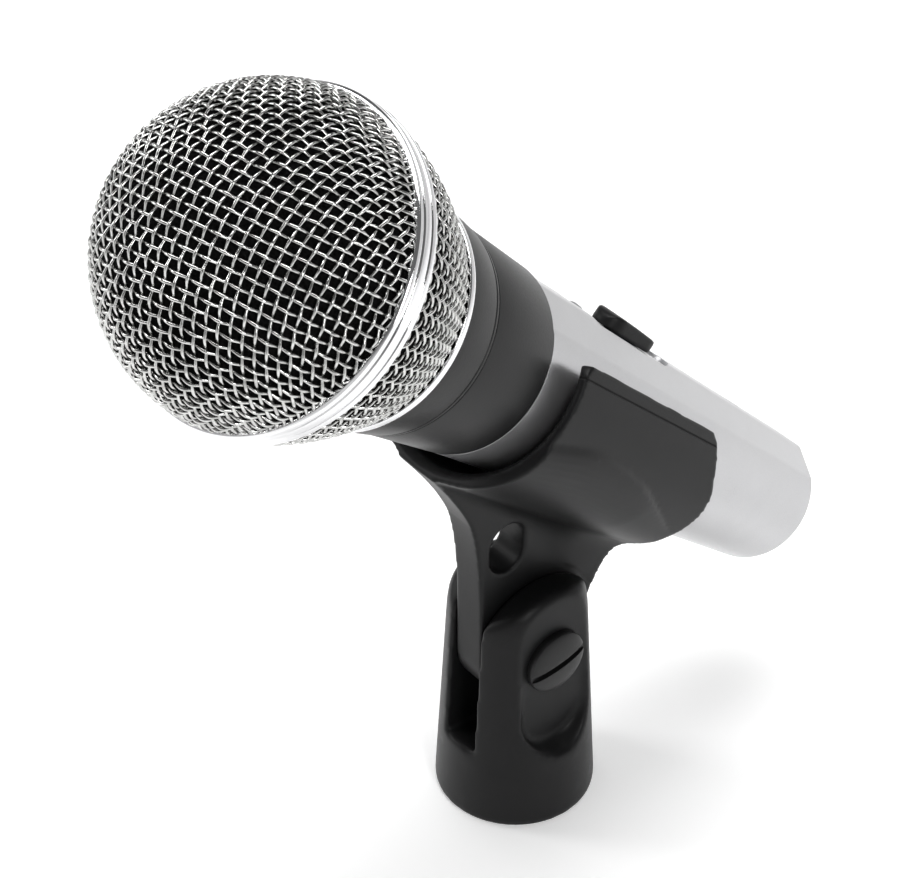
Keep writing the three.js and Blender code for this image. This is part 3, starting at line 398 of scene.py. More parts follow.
# ---------------------------------------------------------------- mesh making
def new_object(name, mesh):
    piece = bpy.data.objects.new(name, mesh)
    bpy.context.scene.collection.objects.link(piece)
    return piece


def mesh_object(name, points, faces, place):
    """An object at the origin whose mesh lies at its place, with its faces outwards."""
    mesh = bpy.data.meshes.new(name)
    mesh.from_pydata([place @ Vector(point) for point in points], [], faces)
    shape = bmesh.new()
    shape.from_mesh(mesh)
    bmesh.ops.recalc_face_normals(shape, faces=shape.faces)
    shape.to_mesh(mesh)
    shape.free()
    return new_object(name, mesh)


def evaluated(piece):
    """The piece with its modifiers made into a plain mesh."""
    graph = bpy.context.evaluated_depsgraph_get()
    mesh = bpy.data.meshes.new_from_object(piece.evaluated_get(graph), depsgraph=graph)
    mesh.name = piece.name
    piece.modifiers.clear()
    piece.data = mesh
    return piece


def cut(piece, *tools, operation="DIFFERENCE"):
    for tool in tools:
        modifier = piece.modifiers.new("cut", "BOOLEAN")
        modifier.operation = operation
        modifier.object = tool
        modifier.solver = "EXACT"
        evaluated(piece)
        bpy.data.objects.remove(tool)
    return piece


def eased(piece, width_mm, segments=2, sharp=32):
    """Rounds every edge sharper than an angle, and shades the rest smooth."""
    bevel = piece.modifiers.new("edges", "BEVEL")
    bevel.width = width_mm * MM
    bevel.segments = segments
    bevel.limit_method = "ANGLE"
    bevel.angle_limit = sharp * DEGREE
    for polygon in piece.data.polygons:
        polygon.use_smooth = True
    weighted = piece.modifiers.new("normals", "WEIGHTED_NORMAL")
    weighted.keep_sharp = True
    return evaluated(piece)


def smooth(piece):
    for polygon in piece.data.polygons:
        polygon.use_smooth = True
    return piece


def rounded(outline, radius, steps=3):
    """The closed outline with each corner replaced by a short curve."""
    result = []
    count = len(outline)
    for i, corner in enumerate(outline):
        corner = Vector(corner)
        before = Vector(outline[i - 1]) - corner
        after = Vector(outline[(i + 1) % count]) - corner
        reach = min(radius, before.length * 0.45, after.length * 0.45)
        on_axis = corner.x < 1e-6
        if on_axis:
            result.append(tuple(corner))
            continue
        start = corner + before.normalized() * reach
        end = corner + after.normalized() * reach
        for step in range(steps + 1):
            share = step / steps
            point = start * (1 - share) ** 2 + corner * 2 * share * (1 - share) + end * share ** 2
            result.append(tuple(point))
    return result


def turned(name, outline, place, facets=96, axis_turn=None):
    """A closed outline of (radius, height) turned about Z."""
    turn = axis_turn or Matrix.Identity(4)
    points = []
    rings = []
    for radius, height in outline:
        if radius < 1e-6:
            rings.append([len(points)] * facets)
            points.append(turn @ Vector((0, 0, height)))
            continue
        rings.append(list(range(len(points), len(points) + facets)))
        for i in range(facets):
            angle = 2 * math.pi * i / facets
            points.append(turn @ Vector((radius * math.sin(angle), radius * math.cos(angle), height)))
    faces = []
    for low, high in zip(rings, rings[1:] + rings[:1]):
        for i in range(facets):
            j = (i + 1) % facets
            corners = list(dict.fromkeys([low[i], low[j], high[j], high[i]]))
            if len(corners) > 2:
                faces.append(corners)
    return mesh_object(name, points, faces, place)


ACROSS = Matrix.Rotation(90 * DEGREE, 4, "Y")  # turns a Z axis to X
UP_FROM_TOP = Matrix.Rotation(-90 * DEGREE, 4, "X")  # turns a Z axis to Y


def loft(name, sections, place):
    """A closed solid through a list of equal closed sections of 3-D points."""
    count = len(sections[0])
    points = [point for section in sections for point in section]
    faces = []
    for k in range(len(sections) - 1):
        for i in range(count):
            j = (i + 1) % count
            faces.append((k * count + i, k * count + j, (k + 1) * count + j, (k + 1) * count + i))
    faces.append(tuple(range(count)))
    faces.append(tuple(range((len(sections) - 1) * count, len(points))))
    return mesh_object(name, points, faces, place)


def raised(name, outline, low, high, place, turn=None):
    """An outline in X and Y raised along Z between two heights, then turned."""
    turn = turn or Matrix.Identity(4)
    sections = [[turn @ Vector((x, y, height)) for x, y in outline] for height in (low, high)]
    return loft(name, sections, place)


# Turns an outline in X and Y raised along Z to one in Y and Z raised along X.
SIDEWAYS = Matrix(((0, 0, 1, 0), (1, 0, 0, 0), (0, 1, 0, 0), (0, 0, 0, 1)))


def arc(middle, radius, start, end, steps):
    """Points on an arc in degrees, counterclockwise from the first axis."""
    angles = [(start + (end - start) * i / steps) * DEGREE for i in range(steps + 1)]
    return [(middle[0] + radius * math.cos(a), middle[1] + radius * math.sin(a)) for a in angles]


def curve(start, control, end, steps):
    points = []
    for i in range(1, steps + 1):
        s = i / steps
        points.append(tuple(
            start[k] * (1 - s) ** 2 + control[k] * 2 * s * (1 - s) + end[k] * s ** 2 for k in (0, 1)))
    return points


def slot_outline(width, length, steps=12):
    reach = length / 2 - width / 2
    return arc((0, reach), width / 2, 0, 180, steps) + arc((0, -reach), width / 2, 180, 360, steps)


def polar(radius, angle_from_top):
    angle = angle_from_top * DEGREE
    return radius * math.sin(angle), radius * math.cos(angle)


def fit(piece, body, finish, *nodes, slot=None):
    """Gives the piece its finish and its body, and hides the CAD nodes that it stands for."""
    piece.data.materials.clear()
    piece.data.materials.append(FINISHES[finish])
    for polygon in piece.data.polygons:
        polygon.material_index = 0
    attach(piece, body)
    if nodes:
        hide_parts(*nodes)
    return piece


# ---------------------------------------------------------------- wires, by geometry nodes
def wire_tree():
    """Edges become wires of a round section, with their radius and sides as inputs."""
    tree = bpy.data.node_groups.new("wires_along_paths", "GeometryNodeTree")
    interface = tree.interface
    interface.new_socket("Paths", in_out="INPUT", socket_type="NodeSocketGeometry")
    interface.new_socket("Wire radius", in_out="INPUT", socket_type="NodeSocketFloat")
    interface.new_socket("Sides", in_out="INPUT", socket_type="NodeSocketInt")
    interface.new_socket("Finish", in_out="INPUT", socket_type="NodeSocketMaterial")
    interface.new_socket("Wires", in_out="OUTPUT", socket_type="NodeSocketGeometry")
    add = tree.nodes.new
    link = tree.links.new
    inputs = add("NodeGroupInput")
    to_curve = add("GeometryNodeMeshToCurve")
    section = add("GeometryNodeCurvePrimitiveCircle")
    sweep = add("GeometryNodeCurveToMesh")
    smooth_shade = add("GeometryNodeSetShadeSmooth")
    realize = add("GeometryNodeRealizeInstances")
    paint = add("GeometryNodeSetMaterial")
    outputs = add("NodeGroupOutput")
    link(inputs.outputs["Paths"], to_curve.inputs["Mesh"])
    link(inputs.outputs["Wire radius"], section.inputs["Radius"])
    link(inputs.outputs["Sides"], section.inputs["Resolution"])
    link(to_curve.outputs["Curve"], sweep.inputs["Curve"])
    link(section.outputs["Curve"], sweep.inputs["Profile Curve"])
    sweep.inputs["Fill Caps"].default_value = True
    link(sweep.outputs["Mesh"], smooth_shade.inputs["Geometry"])
    link(smooth_shade.outputs["Geometry"], realize.inputs["Geometry"])
    link(realize.outputs["Geometry"], paint.inputs["Geometry"])
    link(inputs.outputs["Finish"], paint.inputs["Material"])
    link(paint.outputs["Geometry"], outputs.inputs["Wires"])
    return tree


WIRES = wire_tree()


def wire_piece(name, paths, finish):
    points = []
    edges = []
    for path in paths:
        first = len(points)
        points.extend(MIC @ Vector(point) for point in path)
        edges.extend((i, i + 1) for i in range(first, len(points) - 1))
    mesh = bpy.data.meshes.new(name)
    mesh.from_pydata(points, edges, [])
    piece = new_object(name, mesh)
    modifier = piece.modifiers.new("wires", "NODES")
    modifier.node_group = WIRES
    values = {"Wire radius": WIRE_RADIUS * MM, "Sides": WIRE_SIDES, "Finish": FINISHES[finish]}
    for socket in WIRES.interface.items_tree:
        if socket.name in values:
            modifier[socket.identifier] = values[socket.name]
    return evaluated(piece)


def draped_quarter(radius, steps, step_mm):
    """A quarter of a net of equal steps laid over a ball from its front point.

    Each new knot mirrors the knot behind it in the plane of its two neighbours, which keeps
    every side of every cell the same length, as a woven sheet does when it is pressed over a ball.
    """
    angle = step_mm / radius
    net = [[None] * steps for _ in range(steps)]
    for i in range(steps):
        net[i][0] = Vector((math.sin(i * angle), 0, math.cos(i * angle)))
        net[0][i] = Vector((0, math.sin(i * angle), math.cos(i * angle)))
    for i in range(1, steps):
        for j in range(1, steps):
            left, below, behind = net[i - 1][j], net[i][j - 1], net[i - 1][j - 1]
            if left is None or below is None:
                continue
            normal = left.cross(below)
            if normal.length < 1e-5:
                continue
            normal.normalize()
            knot = behind - normal * (2 * behind.dot(normal))
            if knot.z > -0.2:
                net[i][j] = knot
    return net


def front_mesh_paths():
    """The two sets of wires of the front mesh, over and under each other."""
    surface = BALL_RADIUS - MESH_SINK - 2 * WIRE_RADIUS
    steps = int(surface * math.pi / 2 / WIRE_PITCH * WIRE_STEPS) + 2
    net = draped_quarter(surface, steps, WIRE_PITCH / WIRE_STEPS)
    lowest = (BAND_STATION + BAND_LENGTH - 0.8 - BALL_STATION) / surface
    turn = Matrix.Rotation(WEAVE_TURN * DEGREE, 3, "Z")
    count = (steps - 1) // WIRE_STEPS

    def knot(i, j):
        quarter = net[abs(i)][abs(j)]
        if quarter is None or quarter.z < lowest:
            return None
        return Vector((math.copysign(1, i) * quarter.x, math.copysign(1, j) * quarter.y, quarter.z))

    families = []
    for side in (1, -1):
        paths = []
        for wire in range(-count, count + 1):
            path = []
            for i in range(1 - steps, steps):
                place = (i, wire * WIRE_STEPS) if side > 0 else (wire * WIRE_STEPS, i)
                direction = knot(*place)
                if direction is None:
                    continue
                lift = side * WIRE_RADIUS * math.cos(math.pi * (i / WIRE_STEPS + wire))
                point = turn @ direction * (surface + lift)
                path.append((point.x, point.y, point.z + BALL_STATION))
            if len(path) > WIRE_STEPS:
                paths.append(path)
        families.append(paths)
    return families


def rear_mesh_radius(station):
    """Outside of the rear mesh: a cone that swells between collar and band."""
    share = (station - REAR_MESH_STATION) / (BAND_STATION - REAR_MESH_STATION)
    share = min(max(share, 0), 1)
    low = COLLAR_RADIUS - 0.3
    return low + (BALL_RADIUS - low) * share + 0.8 * math.sin(math.pi * share)


def rear_mesh_paths():
    """Two sets of wires that wind forward along the cone, each at 45 degrees to its outline."""
    start = COLLAR_STATION + 0.5
    end = BAND_STATION + 0.8
    steps = 80
    length = (end - start) / steps
    stations = [start + length * i for i in range(steps + 1)]
    turns = [0.0]
    for station in stations[1:]:
        rise = rear_mesh_radius(station) - rear_mesh_radius(station - length)
        turns.append(turns[-1] + math.hypot(length, rise) / rear_mesh_radius(station))
    families = []
    for side in (1, -1):
        paths = []
        for wire in range(REAR_WIRE_COUNT):
            path = []
            for station, turn in zip(stations, turns):
                lift = side * WIRE_RADIUS * math.cos(REAR_WIRE_COUNT * turn)
                radius = rear_mesh_radius(station) - 2 * WIRE_RADIUS + lift
                angle = side * turn + 2 * math.pi * wire / REAR_WIRE_COUNT
                path.append((radius * math.sin(angle), radius * math.cos(angle), station))
            paths.append(path)
        families.append(paths)
    return families


def grille_meshes():
    names = ("front_mesh_warp", "front_mesh_weft")
    for name, paths in zip(names, front_mesh_paths()):
        fit(wire_piece(name, paths, "wire_chrome"), "grille", "wire_chrome", "front_grille")
    names = ("rear_mesh_left_wound", "rear_mesh_right_wound")
    for name, paths in zip(names, rear_mesh_paths()):
        fit(wire_piece(name, paths, "wire_chrome"), "grille", "wire_chrome", "rear_grille")


# ---------------------------------------------------------------- the rest of the head
def grille_band():
    front = BAND_STATION + BAND_LENGTH
    outer = BAND_RADIUS
    profile = [
        (outer - 1.5, BAND_STATION),
        (outer - 0.25, BAND_STATION),
        (outer - 0.05, BAND_STATION + 0.25),
        (outer - 0.02, BAND_STATION + 1.15),
        (outer - 0.22, BAND_STATION + 1.25),
        (outer - 0.22, BAND_STATION + 1.4),
        (outer - 0.02, BAND_STATION + 1.5),
        (outer, BAND_STATION + 2.9),
        (outer - 0.28, BAND_STATION + 3.05),
        (outer - 0.28, BAND_STATION + 3.2),
        (outer, BAND_STATION + 3.35),
        (outer - 0.05, front - 0.3),
        (outer - 0.4, front),
        (outer - 1.5, front),
    ]
    piece = turned("chrome_band", rounded(profile, 0.08, 2), MIC, 160)
    fit(smooth_by_angle(piece), "grille", "bright_chrome", "grille_band")


def smooth_by_angle(piece, angle=40):
    """Smooth shading that keeps edges sharper than the angle."""
    shape = bmesh.new()
    shape.from_mesh(piece.data)
    for edge in shape.edges:
        edge.smooth = not edge.is_manifold or edge.calc_face_angle() < angle * DEGREE
    for face in shape.faces:
        face.smooth = True
    shape.to_mesh(piece.data)
    shape.free()
    return piece


def collar_ring():
    front = COLLAR_STATION + COLLAR_LENGTH + 0.15
    profile = [
        (14.3, COLLAR_STATION - 6),
        (15.2, COLLAR_STATION - 6),
        (15.2, COLLAR_STATION - GAP / 2),
        (COLLAR_RADIUS, COLLAR_STATION - GAP / 2),
        (COLLAR_RADIUS, front),
        (14.3, front),
    ]
    piece = turned("collar_ring", rounded(profile, 0.3, 4), MIC, 128)
    fit(smooth_by_angle(piece), "grille", "bright_chrome", "grille_collar")


def foam_lining():
    """Pressed against the inside of both meshes, open at the back."""
    inset = MESH_SINK + 4 * WIRE_RADIUS + 0.1
    outside = []
    for i in range(13):
        station = REAR_MESH_STATION + 1 + (BAND_STATION - REAR_MESH_STATION - 1) * i / 12
        outside.append((min(rear_mesh_radius(station) - inset, BAND_RADIUS - 1.8), station))
    radius = BALL_RADIUS - inset
    for i in range(1, 19):
        angle = 90 * i / 18 * DEGREE
        outside.append((radius * math.cos(angle) if i < 18 else 0, BALL_STATION + radius * math.sin(angle)))
    inside = [(max(r - 2.6, 0), z - (2.6 if r < 12 else 0)) for r, z in reversed(outside)]
    piece = turned("foam_lining", outside + inside, MIC, 96)
    fit(smooth(piece), "windscreen", "foam", "foam_windscreen")


def neck():
    front = RING_STATION - GAP
    profile = [
        (11.2, NECK_STATION - 6),
        (13.0, NECK_STATION - 6),
        (13.0, NECK_STATION - GAP),
        (HANDLE_FRONT_RADIUS + 0.05, NECK_STATION - GAP),
        (NECK_FRONT_RADIUS, front),
        (14.8, front),
        (14.8, NECK_STATION + 9),
        (11.2, NECK_STATION + 9),
    ]
    piece = turned("black_neck", rounded(profile, 0.18, 3), MIC, 128)
    fit(smooth_by_angle(piece), "microphone", "black_enamel", "neck_sleeve")


def ring():
    """The broad ring between neck and collar, with a fine line turned near its rear edge."""
    front = COLLAR_STATION - GAP
    line = RING_STATION + 0.75
    slope = (RING_FRONT_RADIUS - NECK_FRONT_RADIUS) / (front - RING_STATION)
    profile = [
        (13.3, RING_STATION - 6),
        (14.4, RING_STATION - 6),
        (14.4, RING_STATION),
        (NECK_FRONT_RADIUS + 0.05, RING_STATION),
        (NECK_FRONT_RADIUS + 0.05 + slope * 0.6, line - 0.15),
        (NECK_FRONT_RADIUS - 0.05, line),
        (NECK_FRONT_RADIUS + 0.05 + slope * 0.9, line + 0.15),
        (RING_FRONT_RADIUS, front),
        (15.5, front),
        (15.5, front - 7),
        (13.3, front - 7),
    ]
    piece = turned("black_ring", rounded(profile, 0.12, 3), MIC, 128)
    fit(smooth_by_angle(piece), "microphone", "black_enamel", "name_ring")


# ---------------------------------------------------------------- handle
def handle_radius(station):
    slope = (HANDLE_FRONT_RADIUS - HANDLE_REAR_RADIUS) / HANDLE_LENGTH
    return HANDLE_REAR_RADIUS + slope * station


def handle_section_angles():
    """Angles from the top: closely spaced round each ridge, even round the back."""
    marks = [-SIDE_FLAT_ANGLE, -TOP_FLAT_ANGLE, TOP_FLAT_ANGLE, SIDE_FLAT_ANGLE]
    angles = []
    for mark in marks:
        angles.extend(mark + RIDGE_ROUND_ANGLE * k / 3 for k in range(-3, 4))
    count = 88
    first = SIDE_FLAT_ANGLE + RIDGE_ROUND_ANGLE + 3
    last = 360 - first
    angles.extend(first + (last - first) * i / count for i in range(count + 1))
    return angles


def flat_share(angle):
    """How far out the outline is at an angle, as a share of the round radius."""
    angle = (angle + 180) % 360 - 180
    marks = [-SIDE_FLAT_ANGLE, -TOP_FLAT_ANGLE, TOP_FLAT_ANGLE, SIDE_FLAT_ANGLE]
    for low, high in zip(marks, marks[1:]):
        if low <= angle <= high:
            half = (high - low) / 2
            return math.cos(half * DEGREE) / math.cos((angle - (low + high) / 2) * DEGREE)
    return 1.0


def softened_share(angle):
    """The outline with its ridges rounded, by averaging over a small arc."""
    samples = [flat_share(angle + RIDGE_ROUND_ANGLE * k / 4) for k in range(-4, 5)]
    return sum(samples) / len(samples)


def handle_section(station, inset=0.0):
    section = []
    for angle in handle_section_angles():
        radius = handle_radius(station) * softened_share(angle) - inset
        x, y = polar(radius, angle)
        section.append(Vector((x, y, station)))
    return section


FLAT_SHARE = math.cos(TOP_FLAT_ANGLE * DEGREE)
FLAT_LEAN = math.atan((HANDLE_FRONT_RADIUS - HANDLE_REAR_RADIUS) / HANDLE_LENGTH * FLAT_SHARE)
ON_SWITCH = (Matrix.Translation((0, handle_radius(SWITCH_STATION) * FLAT_SHARE, SWITCH_STATION))
             @ Matrix.Rotation(-FLAT_LEAN, 4, "X"))
SWITCH = MIC @ ON_SWITCH


def handle():
    rim_round = 1.0
    sections = []
    for i in range(6):
        angle = 90 * i / 5 * DEGREE
        station = rim_round * (1 - math.cos(angle))
        sections.append(handle_section(station, rim_round * (1 - math.sin(angle))))
    sections.extend(handle_section(HANDLE_LENGTH * k / 8) for k in range(1, 9))
    piece = loft("silver_handle", sections, MIC)
    bore = turned("bore", [
        (0, -1), (9.4, -1), (9.4, 26.5), (11.0, 27.5),
        (HANDLE_FRONT_RADIUS - HANDLE_WALL, HANDLE_LENGTH + 1), (0, HANDLE_LENGTH + 1)], MIC, 72)
    recess = raised("recess", slot_outline(SWITCH_WIDTH, SWITCH_LENGTH), -4, 4, SWITCH, UP_FROM_TOP)
    screw_hole = turned("screw_hole", [(0, 6), (1.6, 6), (1.6, 16), (0, 16)],
                        MIC @ Matrix.Translation((0, 0, CABLE_SCREW_STATION)), 32, UP_FROM_TOP)
    cut(piece, bore, recess, screw_hole)
    fit(eased(piece, 0.18, 2, 35), "microphone", "silver_enamel", "handle")


def switch_plate():
    sheet = raised("switch_plate_sheet", slot_outline(SWITCH_WIDTH - 0.3, SWITCH_LENGTH - 0.3),
                   -PLATE_DROP - 1, -PLATE_DROP, SWITCH, UP_FROM_TOP)
    slot = raised("slot", [(-1.8, -4.1), (1.8, -4.1), (1.8, 5), (-1.8, 5)], -3, 1, SWITCH, UP_FROM_TOP)
    place = SWITCH @ Matrix.Translation((0, 0, PLATE_SCREW_OFFSET))
    hole = turned("hole", [(0, -3), (1, -3), (1, 1), (0, 1)], place, 24, UP_FROM_TOP)
    cut(sheet, slot, hole)
    fit(eased(sheet, 0.12), "microphone", "silver_enamel", "switch_plate")


def slotted_screw(name, head_radius, shank_radius, low, seat, head_height, slot_width, slot_depth,
                  place, turn):
    """A domed head with a straight slot across it, on a plain shank, pointing along Z before its turn."""
    crown = seat + head_height
    outline = rounded([(0, low), (shank_radius, low), (shank_radius, seat), (head_radius, seat),
                       (head_radius, seat + head_height * 0.45)], 0.15, 3)
    dome = [(head_radius * math.cos(a * DEGREE), seat + head_height * (0.45 + 0.55 * math.sin(a * DEGREE)))
            for a in range(12, 90, 13)]
    piece = turned(name, outline + dome + [(0, crown)], place, 64, turn)
    reach = head_radius + 1
    half = slot_width / 2
    outline = [(-half, -reach), (half, -reach), (half, reach), (-half, reach)]
    return cut(piece, raised("slot", outline, crown - slot_depth, crown + 1, place, turn))


def small_screws():
    place = SWITCH @ Matrix.Translation((0, 0, PLATE_SCREW_OFFSET))
    screw = slotted_screw("plate_screw", 1.3, 0.7, -3.4, -PLATE_DROP + 0.1, 0.75, 0.35, 0.35,
                          place, UP_FROM_TOP)
    fit(eased(screw, 0.05, 1), "microphone", "steel", "switch_plate_screw")
    place = MIC @ Matrix.Translation((0, 0, CABLE_SCREW_STATION))
    top = handle_radius(CABLE_SCREW_STATION) * FLAT_SHARE - 0.5
    screw = slotted_screw("cable_end_screw", 1.3, 1.25, 7.1, top - 0.6, 0.6, 0.4, 0.5, place, UP_FROM_TOP)
    fit(eased(screw, 0.05, 1), "microphone", "steel", "connector_screw")


def switch_knob():
    """A slider that stands highest just behind its front end and slopes down to the rear."""
    half = KNOB_LENGTH / 2
    front = KNOB_FRONT_HEIGHT
    rear = KNOB_REAR_HEIGHT
    side = [(-half, -0.5), (half, -0.5), (half, 0.4)]
    side += curve((half, 0.4), (half - 0.1, front), (half - 2.6, front), 8)
    side += curve((half - 2.6, front), (0, front - 0.1), (-half + 2.2, rear + 0.05), 8)
    side += curve((-half + 2.2, rear + 0.05), (-half, rear), (-half, 0.3), 8)
    outline = [(height, along - KNOB_SETBACK) for along, height in side]
    slab = raised("switch_slider", outline, -3, 3, SWITCH, SIDEWAYS)
    plan = [(x, y - KNOB_SETBACK) for x, y in slot_outline(KNOB_WIDTH, KNOB_LENGTH, 14)]
    plan = [(x, -y) for x, y in reversed(plan)]
    trim = raised("plan", plan, -2, 4, SWITCH, UP_FROM_TOP)
    cut(slab, trim, operation="INTERSECT")
    near, far = KNOB_SETBACK - 2.5, KNOB_SETBACK + 2.5
    foot = [(-1.5, near), (1.5, near), (1.5, far), (-1.5, far)]
    cut(slab, raised("foot", foot, -3, 0.5, SWITCH, UP_FROM_TOP), operation="UNION")
    fit(remeshed(slab, 0.2, 26), "switch_knob", "black_moulding", "switch_knob")


# ---------------------------------------------------------------- cable end
def connector():
    cup = rounded([(0, 15), (8.1, 15), (8.1, 1), (9.2, 1), (9.2, 25), (0, 25)], 0.25, 3)
    piece = turned("connector_cup", cup, MIC, 72)
    key = raised("key", [(-1.1, 6.6), (1.1, 6.6), (1.1, 8.6), (-1.1, 8.6)], 3.2, 15.2, MIC)
    cut(piece, key, operation="UNION")
    fit(eased(piece, 0.12), "microphone", "black_moulding", "connector_insulator")
    for angle, number in ((-60, 1), (60, 2), (180, 3)):
        x, y = polar(3.9, angle)
        outline = rounded([(0, 2.5), (1.2, 2.5), (1.2, 28), (0, 28)], 0.8, 5)
        pin = turned("pin_%d" % number, outline, MIC @ Matrix.Translation((x, y, 0)), 32)
        fit(smooth_by_angle(pin), "microphone", "brass", "connector_pin_%d" % number)


# ---------------------------------------------------------------- clip: cradle and arm
def cradle_outside(station):
    return handle_radius(station) + CRADLE_AIR + CRADLE_WALL


def arm_outline():
    """The arm from the side: Y to the rear, Z up, the pivot at the origin."""
    end = ARM_END
    outline = arc((0, 0), end, 180, 360, 32)
    outline += [(end + 2.2, 2.3)]
    outline += curve((end + 2.2, 2.3), (end + 4, 6.5), (end + 5.5, 12.8), 10)
    outline += [(end + 13, 24), (-6, 60), (-24, 49), (-20, 43.4)]
    outline += curve((-20, 43.4), (-14.4, 35.6), (-12.3, 30.2), 8)
    outline += curve((-12.3, 30.2), (-end, 23.5), (-end, 10), 12)
    return outline


def blended(values, shares, share):
    """A smooth curve through one column of the fairing's table."""
    for i in range(len(shares) - 1):
        if share <= shares[i + 1]:
            break
    before = max(i - 1, 0)
    after = min(i + 2, len(shares) - 1)
    span = shares[i + 1] - shares[i]
    s = (share - shares[i]) / span
    low_slope = (values[i + 1] - values[before]) / (shares[i + 1] - shares[before]) * span
    high_slope = (values[after] - values[i]) / (shares[after] - shares[i]) * span
    return ((2 * s ** 3 - 3 * s ** 2 + 1) * values[i] + (s ** 3 - 2 * s ** 2 + s) * low_slope
            + (3 * s ** 2 - 2 * s ** 3) * values[i + 1] + (s ** 3 - s ** 2) * high_slope)


def fairing_section(share):
    """Leaves the barrel at the crease, follows it under and sweeps down to the arm's own thickness."""
    shares = [row[0] for row in FAIRING_SECTIONS]
    crease, under, depth = (blended([row[k] for row in FAIRING_SECTIONS], shares, share) for k in (1, 2, 3))
    station = CRADLE_REAR + (CRADLE_MOUTH - CRADLE_REAR) * share
    radius = cradle_outside(station)
    bulge = FAIRING_BULGE * min(max(0.35 + 2 * share, 0.3), 1)  # dies out towards the rear
    side = []
    for i in range(FAIRING_STEPS + 1):
        along = i / FAIRING_STEPS
        swell = bulge * math.sin(math.pi * math.sqrt(along) * 0.999)
        side.append(polar(radius - 0.1 + swell, crease + (under - crease) * along))
    half = ARM_THICKNESS / 2
    last = side[-1]
    corner = (half, last[1] - (last[0] - half) * math.tan((180 - under) * DEGREE))
    side += curve(last, corner, (half, -radius - depth), FAIRING_STEPS) + [(half, -75)]
    outline = side + [(-x, y) for x, y in reversed(side)]
    return [(x, y, station) for x, y in outline]


def clip_sides():
    """All that the clip keeps, seen from its side."""
    low = -2 * cradle_outside(CRADLE_MOUTH)
    high = cradle_outside(CRADLE_MOUTH)
    lip = high * math.cos(LIP_ANGLE * DEGREE)
    round_off = 3.0
    side = [(low, CRADLE_REAR), (-7, CRADLE_REAR)]
    side += curve((-7, CRADLE_REAR), (-2, CRADLE_REAR), (1.5, CRADLE_REAR + 3.4), 10)
    side += [(lip - 2.5, CRADLE_REAR + 6.4)]
    side += curve((lip - 2.5, CRADLE_REAR + 6.4), (lip - 0.2, CRADLE_REAR + 8.6),
                  (lip + 0.4, CRADLE_REAR + 12), 8)
    before_mouth = CRADLE_MOUTH - round_off
    side += [(high, CRADLE_REAR + 13), (high, before_mouth), (lip + 0.3, before_mouth)]
    side += curve((lip + 0.3, before_mouth), (lip, CRADLE_MOUTH), (lip - round_off, CRADLE_MOUTH), 8)
    side += [(low, CRADLE_MOUTH)]
    keep = raised("keep", side, -40, 40, MIC, SIDEWAYS)
    outline = [(-60, -60), (ARM_END + 5.5, -60), (ARM_END + 5.5, 12.8), (-60, 12.8)]
    below = raised("below", outline, -ARM_THICKNESS, ARM_THICKNESS, ARM, SIDEWAYS)
    return cut(keep, below, operation="UNION")


def pivot_hole(place):
    radius = PIVOT_HOLE_RADIUS
    return turned("pivot_hole", [(0, -30), (radius, -30), (radius, 30), (0, 30)], place, 48, ACROSS)


def clip():
    """The barrel with its open top, the arm, and the fairing that widens the arm into the barrel."""
    low, high = CRADLE_REAR - 2, CRADLE_MOUTH + 1
    ends = [(0, low), (cradle_outside(low), low), (cradle_outside(high), high), (0, high)]
    piece = turned("clip_moulding", ends, MIC, 160)
    web = loft("web", [fairing_section(-0.4 + 1.43 * i / 50) for i in range(51)], MIC)
    cut(web, raised("limits", arm_outline(), -20, 20, ARM, SIDEWAYS), operation="INTERSECT")
    for near, far in ((3.15, 25), (-25, -3.15)):
        cut(web, turned("ear_room", [(0, near), (14.2, near), (14.2, far), (0, far)], ARM, 96, ACROSS))
    cut(piece, web, operation="UNION")
    cut(piece, clip_sides(), operation="INTERSECT")
    inside = handle_radius(CRADLE_MOUTH) + CRADLE_AIR
    bore = turned("bore", [(0, 20), (handle_radius(20) + CRADLE_AIR, 20),
                           (inside - 0.1, CRADLE_MOUTH - 1.3), (inside + 1.2, CRADLE_MOUTH + 0.1),
                           (inside + 1.2, 95), (0, 95)], MIC, 160)
    x, y = polar(80, LIP_ANGLE)
    opening = raised("opening", [(0, 0), (x, y), (0, 80), (-x, y)], 20, 95, MIC)
    slot = slot_outline(ARM_HOLE_WIDTH, ARM_HOLE_LENGTH, 16)
    slot = [(y + ARM_HOLE_PLACE[0], z + ARM_HOLE_PLACE[1]) for y, z in slot]
    hole = raised("hole", slot, -30, 30, ARM, SIDEWAYS)
    return cut(piece, bore, opening, hole, pivot_hole(ARM))


def remeshed(piece, voxel_mm, softenings):
    """The piece as one even skin with all its edges softened, as a moulding has."""
    remesh = piece.modifiers.new("skin", "REMESH")
    remesh.mode = "VOXEL"
    remesh.voxel_size = voxel_mm * MM
    soften = piece.modifiers.new("soften", "SMOOTH")
    soften.factor = 0.5
    soften.iterations = softenings
    return smooth(evaluated(piece))


def finished_clip():
    piece = remeshed(clip(), MOULDING_SKIN, 2)
    fit(piece, "clip", "clip_moulding", "clip_cradle", slot="black_moulding")


# ---------------------------------------------------------------- stand base, insert, screw and nut
def scoop(name, floor, width, near, far, side):
    """A pocket for the screw or the nut whose rounded floor falls away outwards."""
    sections = []
    for depth, half, low in ((near, width, floor), (far, width + 0.7, floor - 2.6)):
        outline = arc((0, low + half), half, 180, 360, 28) + [(half, 60), (-half, 60)]
        sections.append([(side * depth, y, z) for y, z in outline])
    return loft(name, sections, STAND)


